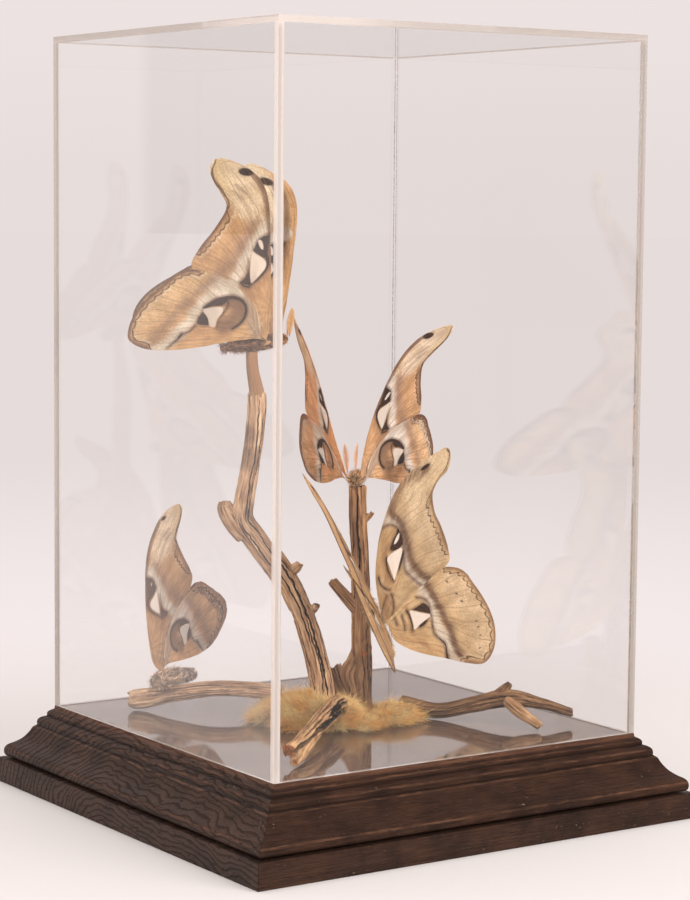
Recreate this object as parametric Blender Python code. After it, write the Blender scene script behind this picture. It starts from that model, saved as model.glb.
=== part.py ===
"""Four large dried moths on driftwood under a clear acrylic cover, on a dark moulded oak plinth."""

import math

import bmesh
import bpy
from mathutils import Vector

# Driving dimensions, in millimetres. The middle of the plinth's underside is the origin.
COVER = 300.0            # outer width and depth of the acrylic cover
COVER_HEIGHT = 486.0     # cover, from its lower edge to its top face
SHEET = 4.0              # thickness of the acrylic
GAP = 0.3                # clearance between pieces that touch
PLINTH = 58.5            # height of the plinth and of the panel's face
BOARD_TOP = 18.2         # top of the lower boards
BOARD_OUT = 31.1         # how far the lower boards reach beyond the cover
BOARD_IN = -34.0         # inner edge of the lower boards and mouldings
PANEL = 291.4            # width and depth of the black panel
PANEL_THICK = 6.0
WING_THICK = 0.5
FUR_HIGH = 21.0          # height of the tuft of fur over the panel
WING_STEP = 1.0          # distance between the fore and the hind wing where they overlap
MM = 0.001

# Moulding section: (distance outward from the cover's outer face, height below the panel's face).
MOULDING = [
    (0.0, 0.0), (0.5, 2.3), (2.2, 3.5), (3.8, 4.8), (4.3, 7.3), (7.0, 9.0), (9.7, 11.3),
    (9.7, 14.6), (12.0, 16.6), (13.4, 19.0), (14.7, 21.2), (17.5, 24.9), (21.5, 28.3),
    (25.8, 30.7), (27.5, 33.2), (27.8, 37.0), (26.0, 39.2), (24.0, 40.0),
]

# Colour and roughness of each material.
FINISHES = {
    "oak": ((0.055, 0.034, 0.026), 0.5),
    "panel": ((0.012, 0.012, 0.013), 0.06),
    "acrylic": ((0.95, 0.95, 0.94), 0.02),
    "driftwood": ((0.42, 0.33, 0.25), 0.85),
    "fur": ((0.78, 0.58, 0.36), 0.95),
    "wing": ((0.66, 0.45, 0.26), 0.8),
    "body": ((0.40, 0.25, 0.14), 0.95),
    "antenna": ((0.75, 0.42, 0.22), 0.8),
}

# Limbs as (x, y, z, radius) along the middle of the wood.
TALL = [
    (4, 29, 60.2, 9.6), (3, 29, 83, 8.2), (-5, 34, 120, 7.6), (-14, 40, 147, 7.8),
    (-22, 45, 163, 8.0), (-36, 53, 185, 8.2), (-44, 57, 200, 7.6), (-43, 56, 214, 6.6),
    (-41, 52.5, 237, 6.2), (-38.5, 49.5, 265, 6.3), (-38, 48, 290, 5.9), (-41, 49, 308, 5.1),
    (-42, 49, 320, 4.7),
]
TRUNK = [
    (30, 11, 60.4, 11.5), (29, 12, 82, 8.8), (27, 13, 120, 6.9), (26, 13, 166, 6.5),
    (24, 13, 196, 6.5), (23, 13, 223.5, 6.5),
]
LEFT = [
    (-22, 43, 72.5, 6.0), (-40, 56, 75, 5.7), (-62, 69, 75.5, 5.6), (-85, 88, 71, 6.0),
    (-100, 100, 67, 6.4), (-110, 108, 64.6, 5.5),
]
RIGHT = [
    (46, -12, 67, 6.4), (60, -37, 65, 5.6), (78, -53.5, 70, 5.6), (97, -70, 75.5, 6.4),
    (115, -85, 73, 4.3), (133, -101, 66.5, 3.2),
]
FORK = [(92, -77, 72, 4.0), (95, -91, 68.5, 4.3), (96, -110, 62.6, 2.9)]
FRONT = [
    (-7, -12, 72.5, 7.0), (-42, -46, 73.5, 6.8), (-73, -75, 71.5, 6.2), (-96, -96, 70, 5.2),
    (-113, -109, 68.5, 3.8),
]
PRONG = [(-57, -60, 71, 5.5), (-87, -91, 67, 4.9), (-114, -117, 62.8, 3.4)]
BACK = [(27, 37, 66, 6.4), (25, 41, 77, 6.9), (23, 45, 87, 7.3)]

# Short side growths, each joined to its limb.
TALL_KNOB = [(-41, 56, 190, 6.6), (-49, 60, 198, 5.8), (-56, 64.5, 211.5, 5.0)]
TALL_STUBS = [
    [(-22, 45, 160, 4.5), (-14, 39, 164, 3.8), (-11, 36, 168, 2.8)],
    [(-11, 38, 131, 4.5), (-3, 32, 134, 3.4), (0, 30, 138, 2.4)],
]
TRUNK_STUBS = [
    [(26, 13, 132, 4.5), (16, 17, 144, 4.2), (6, 20, 156, 3.6)],
    [(26, 13, 198, 3.0), (31, 9, 203, 2.0), (33, 8, 206, 1.4)],
]
RIGHT_NUB = [(97, -70, 76, 4.4), (97, -70, 87, 3.2)]

# Wing outlines as ribs, each (leading s, leading c, trailing s, trailing c) in millimetres:
# s runs from the root to the tip, c from the leading edge towards the tail.
FORE_A = [
    (5, -3, 5, 3), (20, -9, 14, 7), (36, -14, 30, 15), (56, -20, 50, 27), (66, -22.5, 65, 36),
    (76, -25.5, 76, 27.5), (91, -29, 87, 12.5), (102, -30, 99, 0.5), (111, -28.5, 110, 1.5),
    (118, -25, 119, 4), (124, -20, 126, 4.5), (130, -13, 131, 3), (134, -6, 134.5, -1),
]
HIND_A = [
    (4, 3, 3, 6), (12, 0.5, 5, 16), (22, 0.5, 7, 30), (33, 4, 8.5, 47), (43, 9.5, 12, 68),
    (51, 17, 18, 87), (57, 25, 27, 97), (61.5, 33, 35.5, 95), (64, 40, 44, 88),
    (64, 45, 51, 78), (63.5, 49, 57, 65), (62.5, 53, 60, 58),
]
FORE_C = [
    (5, -5, 4, 3), (17, -14, 12, 8), (31, -22, 26, 16), (47, -27, 42, 27), (56, -29, 56, 37),
    (66, -30, 66, 32), (78, -30, 78, 20), (88, -29, 86, 10), (98, -26, 97, 3), (107, -21, 107, 4),
    (116, -14.5, 116, 8.5), (125, -6, 125, 8), (131, 0, 131.5, 4),
]
HIND_C = [
    (4, 3, -1, 5), (11, 1, -8, 14), (20, 2, -10, 28), (30, 5, -9, 44), (39, 11, -6, 62),
    (46, 19, -3, 82), (51, 27, 2, 98), (54.5, 35, 14, 102), (56.5, 42, 27, 97),
    (57, 47, 38, 86.5), (56.5, 51, 46, 74), (55.5, 55, 51.5, 62),
]
FORE_D = [
    (5, -5, 4, 3), (17, -14, 14, 8), (33, -23, 30, 15), (50, -30, 47, 24), (60, -33, 64, 31),
    (70, -35.5, 71, 27), (81, -36, 80, 16), (92, -33.5, 92, 3), (100, -29.5, 98, 2.5),
    (107, -24.5, 105, 4.5), (112, -18, 111, 6), (115.5, -11, 115.5, 6), (118, -3, 118, 1.5),
]
HIND_D = [
    (5, 3, 4, 6), (11, 1, 5.5, 14), (20, 1, 6.5, 27), (31, 4, 8, 40), (41, 10, 10.5, 53),
    (49, 18, 16, 68), (55, 26, 27, 80), (59, 33, 36.5, 86), (62, 39, 43, 85.5),
    (62.5, 43, 49.5, 80), (61.5, 48, 53.5, 71), (59.5, 53, 57, 61),
]
FEELER = [
    (0, -0.6, 0, 0.6), (4, -1.8, 4, 1.8), (9, -2.6, 9, 2.6), (14, -2.4, 14, 2.4),
    (18, -1.5, 18, 1.5), (21, -0.5, 21, 0.5),
]


def clear_scene():
    for old in list(bpy.data.objects):
        bpy.data.objects.remove(old, do_unlink=True)


def material(kind):
    found = bpy.data.materials.get(kind)
    if found:
        return found
    made = bpy.data.materials.new(kind)
    made.use_nodes = True
    shader = made.node_tree.nodes["Principled BSDF"]
    colour, rough = FINISHES[kind]
    shader.inputs["Base Color"].default_value = (*colour, 1.0)
    shader.inputs["Roughness"].default_value = rough
    if kind == "acrylic":
        shader.inputs["Transmission Weight"].default_value = 1.0
        shader.inputs["IOR"].default_value = 1.49
    return made


def solid(name, points, faces, kind):
    """One closed body, its faces turned outward, scaled from millimetres to metres."""
    mesh = bpy.data.meshes.new(name)
    mesh.from_pydata([tuple(value * MM for value in point) for point in points], [], faces)
    work = bmesh.new()
    work.from_mesh(mesh)
    bmesh.ops.recalc_face_normals(work, faces=work.faces)
    if work.calc_volume(signed=True) < 0:
        bmesh.ops.reverse_faces(work, faces=work.faces)
    work.to_mesh(mesh)
    work.free()
    mesh.materials.append(material(kind))
    made = bpy.data.objects.new(name, mesh)
    bpy.context.scene.collection.objects.link(made)
    return made


def box(name, low, high, kind):
    xs, ys, zs = zip(low, high)
    points = [(x, y, z) for z in zs for y in ys for x in xs]
    faces = [(0, 1, 3, 2), (4, 5, 7, 6), (0, 1, 5, 4), (2, 3, 7, 6), (0, 2, 6, 4), (1, 3, 7, 5)]
    return solid(name, points, faces, kind)


def mitred(name, section, turn, kind):
    """A straight length with mitred ends; section is (distance out from the cover, height)."""
    points = []
    for end in (-1, 1):
        for out, height in section:
            away = COVER / 2 + out
            along = end * (away - 0.75 * GAP)
            x, y = along, -away
            for _ in range(turn):
                x, y = -y, x
            points.append((x, y, height))
    count = len(section)
    faces = [tuple(range(count)), tuple(range(count, 2 * count))]
    faces += [(i, (i + 1) % count, count + (i + 1) % count, count + i) for i in range(count)]
    return solid(name, points, faces, kind)


def plinth():
    board = [
        (BOARD_IN, 0.0), (30.3, 0.0), (BOARD_OUT, 0.9), (BOARD_OUT, BOARD_TOP - 1.0),
        (30.1, BOARD_TOP), (BOARD_IN, BOARD_TOP),
    ]
    ledge = PLINTH - PANEL_THICK - GAP
    moulding = [(out, PLINTH - down) for out, down in MOULDING]
    moulding += [(BOARD_IN, PLINTH - 40.0), (BOARD_IN, ledge), (-SHEET, ledge), (-SHEET, PLINTH)]
    for turn, side in enumerate(("front", "right", "back", "left")):
        mitred("base_board_" + side, board, turn, "oak")
        mitred("moulding_" + side, moulding, turn, "oak")
    half = PANEL / 2
    box("display_panel", (-half, -half, PLINTH - PANEL_THICK), (half, half, PLINTH), "panel")


def cover():
    half, inner = COVER / 2, COVER / 2 - SHEET
    low = PLINTH + GAP
    top = PLINTH + COVER_HEIGHT
    high = top - SHEET - GAP
    short = inner - GAP
    box("cover_left", (-half, -half, low), (-inner, half, high), "acrylic")
    box("cover_right", (inner, -half, low), (half, half, high), "acrylic")
    box("cover_front", (-short, -half, low), (short, -inner, high), "acrylic")
    box("cover_back", (-short, inner, low), (short, half, high), "acrylic")
    box("cover_top", (-half, -half, top - SHEET), (half, half, top), "acrylic")


def spline(points, steps):
    """Points of a smooth curve through the given ones, with the radius carried along."""
    found = []
    ends = [points[0], *points, points[-1]]
    for a, b, c, d in zip(ends, ends[1:], ends[2:], ends[3:]):
        for step in range(steps):
            t = step / steps
            found.append(tuple(
                0.5 * (2 * q + (r - p) * t + (2 * p - 5 * q + 4 * r - s) * t * t
                       + (3 * q - p - 3 * r + s) * t ** 3)
                for p, q, r, s in zip(a, b, c, d)))
    found.append(tuple(float(value) for value in points[-1]))
    return found


def tube(name, points, kind, steps=2, sides=10, rough=0.08, grow=0.0, extra=0.0):
    """A limb swept along a smooth curve, slightly uneven in section, with closed ends.

    grow and extra make it thicker and longer, for a cutter that leaves room round it.
    """
    path = spline(points, steps)
    places = [Vector(point[:3]) for point in path]
    if extra:
        places.insert(0, places[0] + extra * (places[0] - places[1]).normalized())
        places.append(places[-1] + extra * (places[-1] - places[-2]).normalized())
        path = [path[0], *path, path[-1]]
    side = Vector((0.31, 0.83, 0.17))
    rings = []
    for index, place in enumerate(places):
        ahead = places[min(index + 1, len(places) - 1)] - places[max(index - 1, 0)]
        ahead.normalize()
        side = (side - side.dot(ahead) * ahead).normalized()
        across = ahead.cross(side)
        radius = path[index][3] + grow
        ring = []
        for corner in range(sides):
            angle = 2 * math.pi * corner / sides
            turn = index - (1 if extra else 0)
            wave = math.sin(3 * angle + 0.9 * turn) + 0.6 * math.sin(2 * angle - 0.7 * turn)
            reach = radius * (1 + rough * 0.6 * wave)
            ring.append(place + reach * (math.cos(angle) * side + math.sin(angle) * across))
        rings.append(ring)
    points = [tuple(point) for ring in rings for point in ring]
    faces = [tuple(range(sides)), tuple(range(len(points) - sides, len(points)))]
    for ring in range(len(rings) - 1):
        for corner in range(sides):
            a, b = ring * sides + corner, ring * sides + (corner + 1) % sides
            faces.append((a, b, b + sides, a + sides))
    return solid(name, points, faces, kind)


def combine(target, others, operation):
    """Joins the other solids to the target or cuts them from it, then clears slivers away."""
    for other in others:
        step = target.modifiers.new(operation.lower() + " " + other.name, "BOOLEAN")
        step.operation = operation
        step.solver = "EXACT"
        step.object = other
    bpy.context.view_layer.update()
    graph = bpy.context.evaluated_depsgraph_get()
    result = bpy.data.meshes.new_from_object(target.evaluated_get(graph))
    target.modifiers.clear()
    work = bmesh.new()
    work.from_mesh(result)
    bmesh.ops.triangulate(work, faces=work.faces)
    bmesh.ops.remove_doubles(work, verts=work.verts, dist=0.05 * MM)
    bmesh.ops.dissolve_degenerate(work, edges=work.edges, dist=0.02 * MM)
    bmesh.ops.triangulate(work, faces=work.faces)
    work.to_mesh(result)
    work.free()
    target.data = result
    for other in others:
        bpy.data.objects.remove(other, do_unlink=True)


def driftwood():
    tall = tube("branch_tall", TALL, "driftwood")
    growths = [tube("knob", TALL_KNOB, "driftwood", sides=8)]
    growths += [tube("stub", stub, "driftwood", sides=7) for stub in TALL_STUBS]
    combine(tall, growths, "UNION")
    trunk = tube("branch_trunk", TRUNK, "driftwood")
    growths = [tube("stub", stub, "driftwood", sides=7) for stub in TRUNK_STUBS]
    combine(trunk, growths, "UNION")
    tube("branch_left", LEFT, "driftwood")
    right = tube("branch_right", RIGHT, "driftwood")
    combine(right, [tube("nub", RIGHT_NUB, "driftwood", sides=7)], "UNION")
    fork = tube("branch_right_fork", FORK, "driftwood", sides=8)
    combine(fork, [tube("clear", RIGHT, "driftwood", grow=0.4)], "DIFFERENCE")
    front = tube("branch_front", FRONT, "driftwood")
    combine(front, [tube("prong", PRONG, "driftwood", sides=9)], "UNION")
    tube("branch_back", BACK, "driftwood", steps=3)


def tuft():
    """A low uneven mound of fur, cut clear of every limb that stands in it."""
    rings, sides = 9, 36
    points = []
    for ring in range(rings):
        t = ring / (rings - 1)
        size, height = math.cos(t * math.pi / 2 * 0.93), FUR_HIGH * math.sin(t * math.pi / 2)
        for corner in range(sides):
            angle = 2 * math.pi * corner / sides
            wave = 1 + 0.06 * math.sin(3 * angle + 1.2) + 0.04 * math.sin(7 * angle + 0.4 * ring)
            right, near = 61 * size * wave * math.cos(angle), 52 * size * wave * math.sin(angle)
            x = -4 + 0.83 * right - 0.56 * near
            y = 0 - 0.56 * right - 0.83 * near
            lump = 1 + 0.12 * math.sin(x / 9.0) * math.cos(y / 8.0) if ring else 0
            points.append((x, y, PLINTH + GAP + height * lump))
    points.append((-4, 0, PLINTH + GAP + FUR_HIGH))
    faces = [tuple(range(sides))]
    for ring in range(rings - 1):
        for corner in range(sides):
            a, b = ring * sides + corner, ring * sides + (corner + 1) % sides
            faces.append((a, b, b + sides, a + sides))
    last = (rings - 1) * sides
    for corner in range(sides):
        faces.append((last + corner, last + (corner + 1) % sides, len(points) - 1))
    fur = solid("fur_tuft", points, faces, "fur")
    limbs = (TALL, TRUNK, LEFT, RIGHT, FRONT, BACK)
    clear = [tube("clear", limb, "fur", grow=0.8, extra=3.0) for limb in limbs]
    combine(fur, clear, "DIFFERENCE")


def plate(name, ribs, place, kind, across=4):
    """A thin curved plate. place(s, c, side) gives a point on its upper or lower face."""
    points = []
    for side in (0.5, -0.5):
        for ls, lc, ts, tc in ribs:
            for step in range(across + 1):
                t = step / across
                points.append(place(ls + (ts - ls) * t, lc + (tc - lc) * t, side))
    wide, count = across + 1, len(ribs) * (across + 1)
    faces = []
    for rib in range(len(ribs) - 1):
        for step in range(across):
            a = rib * wide + step
            faces.append((a, a + 1, a + wide + 1, a + wide))
            faces.append((count + a, count + a + wide, count + a + wide + 1, count + a + 1))
    edge = [step for step in range(across)]
    edge += [rib * wide + across for rib in range(len(ribs) - 1)]
    edge += [(len(ribs) - 1) * wide + step for step in range(across, 0, -1)]
    edge += [rib * wide for rib in range(len(ribs) - 1, 0, -1)]
    for a, b in zip(edge, edge[1:] + edge[:1]):
        faces.append((a, b, count + b, count + a))
    return solid(name, points, faces, kind)


def wing_place(root, span, chord, bend=(0, 0, 0), lift=0.0, pinch=0.0, fit=(1, 1, 0)):
    """A function that puts a point of a wing outline in space, bent and raised off its plane."""
    s_axis = Vector(span).normalized()
    c_axis = Vector(chord)
    c_axis = (c_axis - c_axis.dot(s_axis) * s_axis).normalized()
    n_axis = s_axis.cross(c_axis)
    long, wide, turn = fit
    cosine, sine = math.cos(math.radians(turn)), math.sin(math.radians(turn))

    def place(s, c, side):
        s, c = long * s, wide * c
        s, c = s * cosine - c * sine, s * sine + c * cosine
        off = 0.01 * (bend[0] * s * s + bend[1] * s * c + bend[2] * c * c)
        off += pinch * math.exp(-max(s + 0.6 * c, 0) / 26.0)
        return tuple(Vector(root) + s * s_axis + c * c_axis
                     + (off + lift + side * WING_THICK) * n_axis)

    return place


def moth(name, body, wings, feelers):
    tube(name + "_body", body, "body", steps=2, sides=10, rough=0.03)
    for side, wing in wings.items():
        fore, hind, root, span, chord, options = wing
        own = dict(options)
        lower = own.pop("under")
        hind_fit = own.pop("hind_fit", own.get("fit", (1, 1, 0)))
        plate(f"{name}_forewing_{side}", fore, wing_place(root, span, chord, **own), "wing")
        own["fit"] = hind_fit
        step = wing_place(root, span, chord, lift=lower * WING_STEP, **own)
        plate(f"{name}_hindwing_{side}", hind, step, "wing")
    for side, (root, span, chord) in feelers.items():
        plate(f"{name}_antenna_{side}", FEELER, wing_place(root, span, chord), "antenna", 2)


def moths():
    moth(
        "moth_top",
        [(-60, 60, 323.5, 2.5), (-52, 55, 326, 5.0), (-44, 50, 327, 5.6), (-35, 44, 328, 6.2),
         (-29, 40, 330, 5.4), (-24, 37, 331, 3.0)],
        {
            "right": (FORE_A, HIND_A, (-38, 36, 330), (-0.195, 0.228, 0.954),
                      (-0.818, 0.499, -0.286),
                      {"under": 1, "hind_fit": (1, 0.96, 0), "bend": (-0.03, 0, 0.02)}),
            "left": (FORE_A, HIND_A, (-25, 47, 330.5), (0.065, 0.40, 0.917),
                     (-0.86, 0.33, -0.27), {"under": -1, "bend": (0.03, 0, -0.02)}),
        },
        {
            "right": ((-25, 31, 333), (-0.05, -0.3, 0.95), (0.8, -0.5, 0)),
            "left": ((-21, 40, 333), (0.3, 0.15, 0.94), (0.8, -0.5, 0)),
        },
    )
    moth(
        "moth_middle",
        [(14, 5, 231.5, 2.4), (18, 10, 231, 3.7), (24, 17, 230.5, 4.2), (31, 25, 230, 4.3),
         (42, 38, 229, 4.0), (51, 51, 227, 2.4)],
        {
            "left": (FORE_A, HIND_A, (24.5, 11, 229.5), (0.353, -0.068, 0.933),
                     (0.891, 0.33, -0.313),
                     {"under": -1, "fit": (0.93, 1.05, 0), "hind_fit": (0.96, 0.99, 0),
                      "bend": (-0.2, 0.17, 0.11)}),
            "right": (FORE_A, HIND_A, (17, 17, 229.5), (-0.275, 0.378, 0.884),
                      (0.368, 0.898, -0.246),
                      {"under": 1, "fit": (0.92, 1.02, -1.9), "hind_fit": (0.97, 0.97, 2.0),
                       "bend": (-0.1, 0.06, 0.01)}),
        },
        {
            "left": ((15, 4, 236), (0.0, -0.1, 1), (0.95, 0.3, 0)),
            "right": ((10, 7, 235.5), (-0.1, 0.05, 1), (0.6, -0.8, 0)),
        },
    )
    moth(
        "moth_right",
        [(22, 1, 148, 2.8), (23.5, -0.5, 143, 4.3), (26, -2.5, 134.5, 5.3),
         (30, -5.5, 123.5, 5.5), (34, -8.5, 113, 5.0), (38, -11, 102.5, 2.6)],
        {
            "right": (FORE_C, HIND_C, (37, -2, 126), (0.37, -0.03, 0.93),
                      (0.919, -0.04, -0.41),
                      {"under": 1, "fit": (1.03, 0.97, 0), "hind_fit": (1.03, 0.985, 2.5)}),
            "left": (FORE_C, HIND_C, (27.5, -13, 131), (-0.537, -0.005, 0.843),
                     (-0.444, -0.847, -0.283),
                     {"under": -1, "fit": (0.985, 0.985, 0), "hind_fit": (0.985, 0.88, 0)}),
        },
        {
            "right": ((19, 2, 152), (-0.5, 0.35, 0.8), (0.8, 0.6, 0)),
            "left": ((17, -2, 151), (-0.6, -0.1, 0.75), (0.5, 0.2, 0.8)),
        },
    )
    moth(
        "moth_left",
        [(-102, 82, 83.5, 2.8), (-96, 85, 84.5, 5.4), (-89, 88, 85, 6.0), (-81, 91.5, 85.5, 5.8),
         (-69, 97.5, 85.5, 5.2), (-57, 104, 85.5, 3.2)],
        {
            "left": (FORE_D, HIND_D, (-95.5, 85.5, 89.5), (0.125, 0.007, 0.99),
                     (0.863, 0.48, -0.05), {"under": -1, "fit": (1.03, 1.02, 0)}),
            "right": (FORE_D, HIND_D, (-92.5, 91, 88.5), (0.125, 0.007, 0.99),
                      (0.863, 0.48, -0.05), {"under": 1, "fit": (1.02, 0.99, 0)}),
        },
        {},
    )


clear_scene()
plinth()
cover()
driftwood()
tuft()
moths()
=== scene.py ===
"""Four dried moths on driftwood in a clear acrylic case on a dark oak plinth."""

import math
from collections import namedtuple
from contextlib import contextmanager

import bpy
import numpy as np
from mathutils import Matrix, Vector, noise


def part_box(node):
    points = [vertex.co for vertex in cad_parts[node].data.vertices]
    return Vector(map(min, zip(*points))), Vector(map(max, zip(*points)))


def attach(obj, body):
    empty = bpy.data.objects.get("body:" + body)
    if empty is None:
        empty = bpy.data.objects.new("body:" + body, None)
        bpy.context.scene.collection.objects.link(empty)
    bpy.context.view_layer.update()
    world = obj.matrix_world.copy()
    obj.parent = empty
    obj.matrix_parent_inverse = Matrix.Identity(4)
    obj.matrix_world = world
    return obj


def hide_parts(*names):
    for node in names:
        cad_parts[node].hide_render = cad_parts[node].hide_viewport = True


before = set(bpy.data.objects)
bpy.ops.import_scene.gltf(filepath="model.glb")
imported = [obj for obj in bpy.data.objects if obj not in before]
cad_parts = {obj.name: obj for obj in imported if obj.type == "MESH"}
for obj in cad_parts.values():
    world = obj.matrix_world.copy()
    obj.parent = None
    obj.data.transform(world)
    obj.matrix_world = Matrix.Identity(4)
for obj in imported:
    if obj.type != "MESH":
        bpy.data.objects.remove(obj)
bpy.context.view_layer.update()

# Lengths are in millimetres, and MM turns them into Blender's metres.
MM = 0.001
PANEL_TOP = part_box("display_panel")[1].z / MM
COVER_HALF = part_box("cover_right")[1].x / MM
COVER_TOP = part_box("cover_top")[1].z / MM

# Thickness of the acrylic and of a wing, and how far a hindwing lies under its forewing.
SHEET, WING_THICK, WING_STEP = 4.0, 0.36, 1.0

# The camera: where it stands, in metres, and how it is turned, in degrees.
EYE = (-1.00929, -1.49677, 0.43007)
AZIMUTH, ELEVATION, ROLL = -34.097, 5.604, 0.506
LENS = 101.907


# ---------------------------------------------------------------- small tools

def clear_selection():
    for piece in list(bpy.context.selected_objects):
        piece.select_set(False)


def choose(piece):
    """Selects this piece alone and makes it the active one."""
    clear_selection()
    piece.select_set(True)
    bpy.context.view_layer.objects.active = piece


@contextmanager
def edit_mode():
    """Edit mode on the active piece, with everything in it selected."""
    bpy.ops.object.mode_set(mode="EDIT")
    bpy.ops.mesh.select_all(action="SELECT")
    yield
    bpy.ops.object.mode_set(mode="OBJECT")


def extrude(steps, move):
    """Pulls the active piece's outline on by a move, one step after another."""
    with edit_mode():
        for _ in range(steps):
            bpy.ops.mesh.extrude_region_move(TRANSFORM_OT_translate={"value": move})


def points_of(piece):
    """The piece's points as rows of x, y and z, in millimetres."""
    flat = np.empty(len(piece.data.vertices) * 3)
    piece.data.vertices.foreach_get("co", flat)
    return flat.reshape(-1, 3) / MM


def put_points(piece, points):
    piece.data.vertices.foreach_set("co", (np.asarray(points) * MM).ravel())
    piece.data.update()


def take_new(name):
    """Names the primitive that was just added, and gives it back."""
    piece = bpy.context.object
    piece.name = name
    piece.data.name = name
    return piece


def grid(name, columns, rows):
    """A flat grid to be shaped, with each point's place on it from 0 to 1 both ways."""
    clear_selection()
    bpy.ops.mesh.primitive_grid_add(x_subdivisions=columns, y_subdivisions=rows, size=1)
    piece = take_new(name)
    flat = points_of(piece) * MM
    return piece, flat[:, 0] + 0.5, flat[:, 1] + 0.5


def apply(piece, kind, **settings):
    """Adds a modifier with these settings and applies it."""
    modifier = piece.modifiers.new(kind.title(), kind)
    for name, value in settings.items():
        setattr(modifier, name, value)
    bpy.context.view_layer.objects.active = piece
    bpy.ops.object.modifier_apply(modifier=modifier.name)


# The kind of attribute for one, three and four numbers a point, and its field.
KINDS = {1: ("FLOAT", "value"), 3: ("FLOAT_VECTOR", "vector"), 4: ("FLOAT_COLOR", "color")}


def keep(piece, **kept):
    """Stores numbers for each point, for a material to read: one, a vector's three or a colour's four."""
    for name, rows in kept.items():
        rows = np.asarray(rows, np.float32)
        kind, field = KINDS[rows.shape[1] if rows.ndim == 2 else 1]
        piece.data.attributes.new(name, kind, "POINT").data.foreach_set(field, rows.ravel())


def opaque(colours):
    """Rows of red, green and blue with a full alpha."""
    return np.column_stack([colours, np.ones(len(colours))])


def keep_map(piece, across, along):
    """Writes the piece's UV map, in units of 100 mm, from one place for each point."""
    corners = np.empty(len(piece.data.loops), np.int32)
    piece.data.loops.foreach_get("vertex_index", corners)
    pairs = np.stack([across, along], 1)[corners] / 100
    layer = piece.data.uv_layers.active or piece.data.uv_layers.new(name="UVMap")
    layer.data.foreach_set("uv", pairs.astype(np.float32).ravel())


def smooth(piece, angle):
    """Shades the piece smooth, but not across edges sharper than the angle in degrees."""
    choose(piece)
    bpy.ops.object.shade_smooth_by_angle(angle=math.radians(angle))


def weld(piece, distance=0.004):
    """Joins points that lie together, and turns all faces outward."""
    choose(piece)
    with edit_mode():
        bpy.ops.mesh.remove_doubles(threshold=distance * MM)
        bpy.ops.mesh.normals_make_consistent(inside=False)


def finish_piece(piece, finish, slot, *nodes):
    """Gives the piece its material, lets it ride on the case, and hides the nodes it shows."""
    piece.data.materials.clear()
    piece.data.materials.append(finish)
    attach(piece, "root")
    if nodes:
        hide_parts(*nodes)
    return piece


def curve_rows(rows, places):
    """A smooth curve through rows of numbers, read at places counted in rows."""
    rows = np.asarray(rows, float)
    rows = np.vstack([2 * rows[0] - rows[1], rows, 2 * rows[-1] - rows[-2]])
    first = np.clip(places.astype(int), 0, len(rows) - 4)
    t = (places - first)[:, None]
    a, b, c, d = (rows[first + step] for step in range(4))
    return 0.5 * (2 * b + (c - a) * t + (2 * a - 5 * b + 4 * c - d) * t ** 2
                  + (3 * b - a - 3 * c + d) * t ** 3)


def path_lengths(path):
    """How far along a path each of its points lies."""
    return np.concatenate([[0], np.cumsum(np.linalg.norm(np.diff(path, axis=0), axis=1))])


def square_out(angle, side, across):
    """Directions square to a line, by the angle from its side axis."""
    return np.cos(angle)[..., None] * side + np.sin(angle)[..., None] * across


def spun(x, y, angle):
    """Places turned about the origin by an angle in radians."""
    cosine, sine = np.cos(angle), np.sin(angle)
    return x * cosine - y * sine, x * sine + y * cosine


def ease(low, high, x):
    """A soft step from 0 at low to 1 at high."""
    t = np.clip((x - low) / (high - low), 0, 1)
    return t * t * (3 - 2 * t)


def wander(x, y, z=0.0, seed=0.0, octaves=2):
    """Smooth noise about zero for arrays of places."""
    total = np.zeros(len(x))
    z = np.broadcast_to(z, x.shape)
    for octave in range(octaves):
        k = 2.0 ** octave
        values = [noise.noise((a * k + seed, b * k - seed, c * k + 3.1 * octave))
                  for a, b, c in zip(x, y, z)]
        total += np.array(values) / k
    return total


# ---------------------------------------------------------------- materials

class Nodes:
    """Short ways to add nodes to a material or to the world."""

    def __init__(self, tree):
        self.nodes, self.links = tree.nodes, tree.links

    def node(self, kind, out=0, settings=None, **inputs):
        """Adds a node with its inputs, named or as i and a number, and gives back one of its outputs."""
        made = self.nodes.new("ShaderNode" + kind)
        for name, value in (settings or {}).items():
            setattr(made, name, value)
        for name, value in inputs.items():
            key = int(name[1:]) if name[0] == "i" and name[1:].isdigit() else name.replace("_", " ")
            self.feed(made.inputs[key], value)
        return made.outputs[out]

    def feed(self, socket, value):
        if isinstance(value, bpy.types.NodeSocket):
            self.links.new(value, socket)
        else:
            socket.default_value = value

    def math(self, operation, a, b=0.0):
        return self.node("Math", 0, {"operation": operation}, i0=a, i1=b)

    def times(self, a, b):
        return self.math("MULTIPLY", a, b)

    def plus(self, a, b):
        return self.math("ADD", a, b)

    def most(self, a, b):
        return self.math("MAXIMUM", a, b)

    def size(self, value):
        return self.math("ABSOLUTE", value)

    def between(self, value, low, high, to_low=0.0, to_high=1.0):
        """The value's place between low and high, cut off at both ends."""
        return self.node("MapRange", 0, {"interpolation_type": "SMOOTHSTEP"}, Value=value,
                         From_Min=low, From_Max=high, To_Min=to_low, To_Max=to_high)

    def toward(self, vector, direction):
        """How far a vector goes along a direction."""
        return self.node("VectorMath", "Value", {"operation": "DOT_PRODUCT"}, i0=vector, i1=direction)

    def mirrored(self):
        """One where a ray comes off something glossy, and nothing for every other ray."""
        return self.times(self.node("LightPath", "Is Glossy Ray"),
                          self.node("LightPath", "Is Reflection Ray"))


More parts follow.
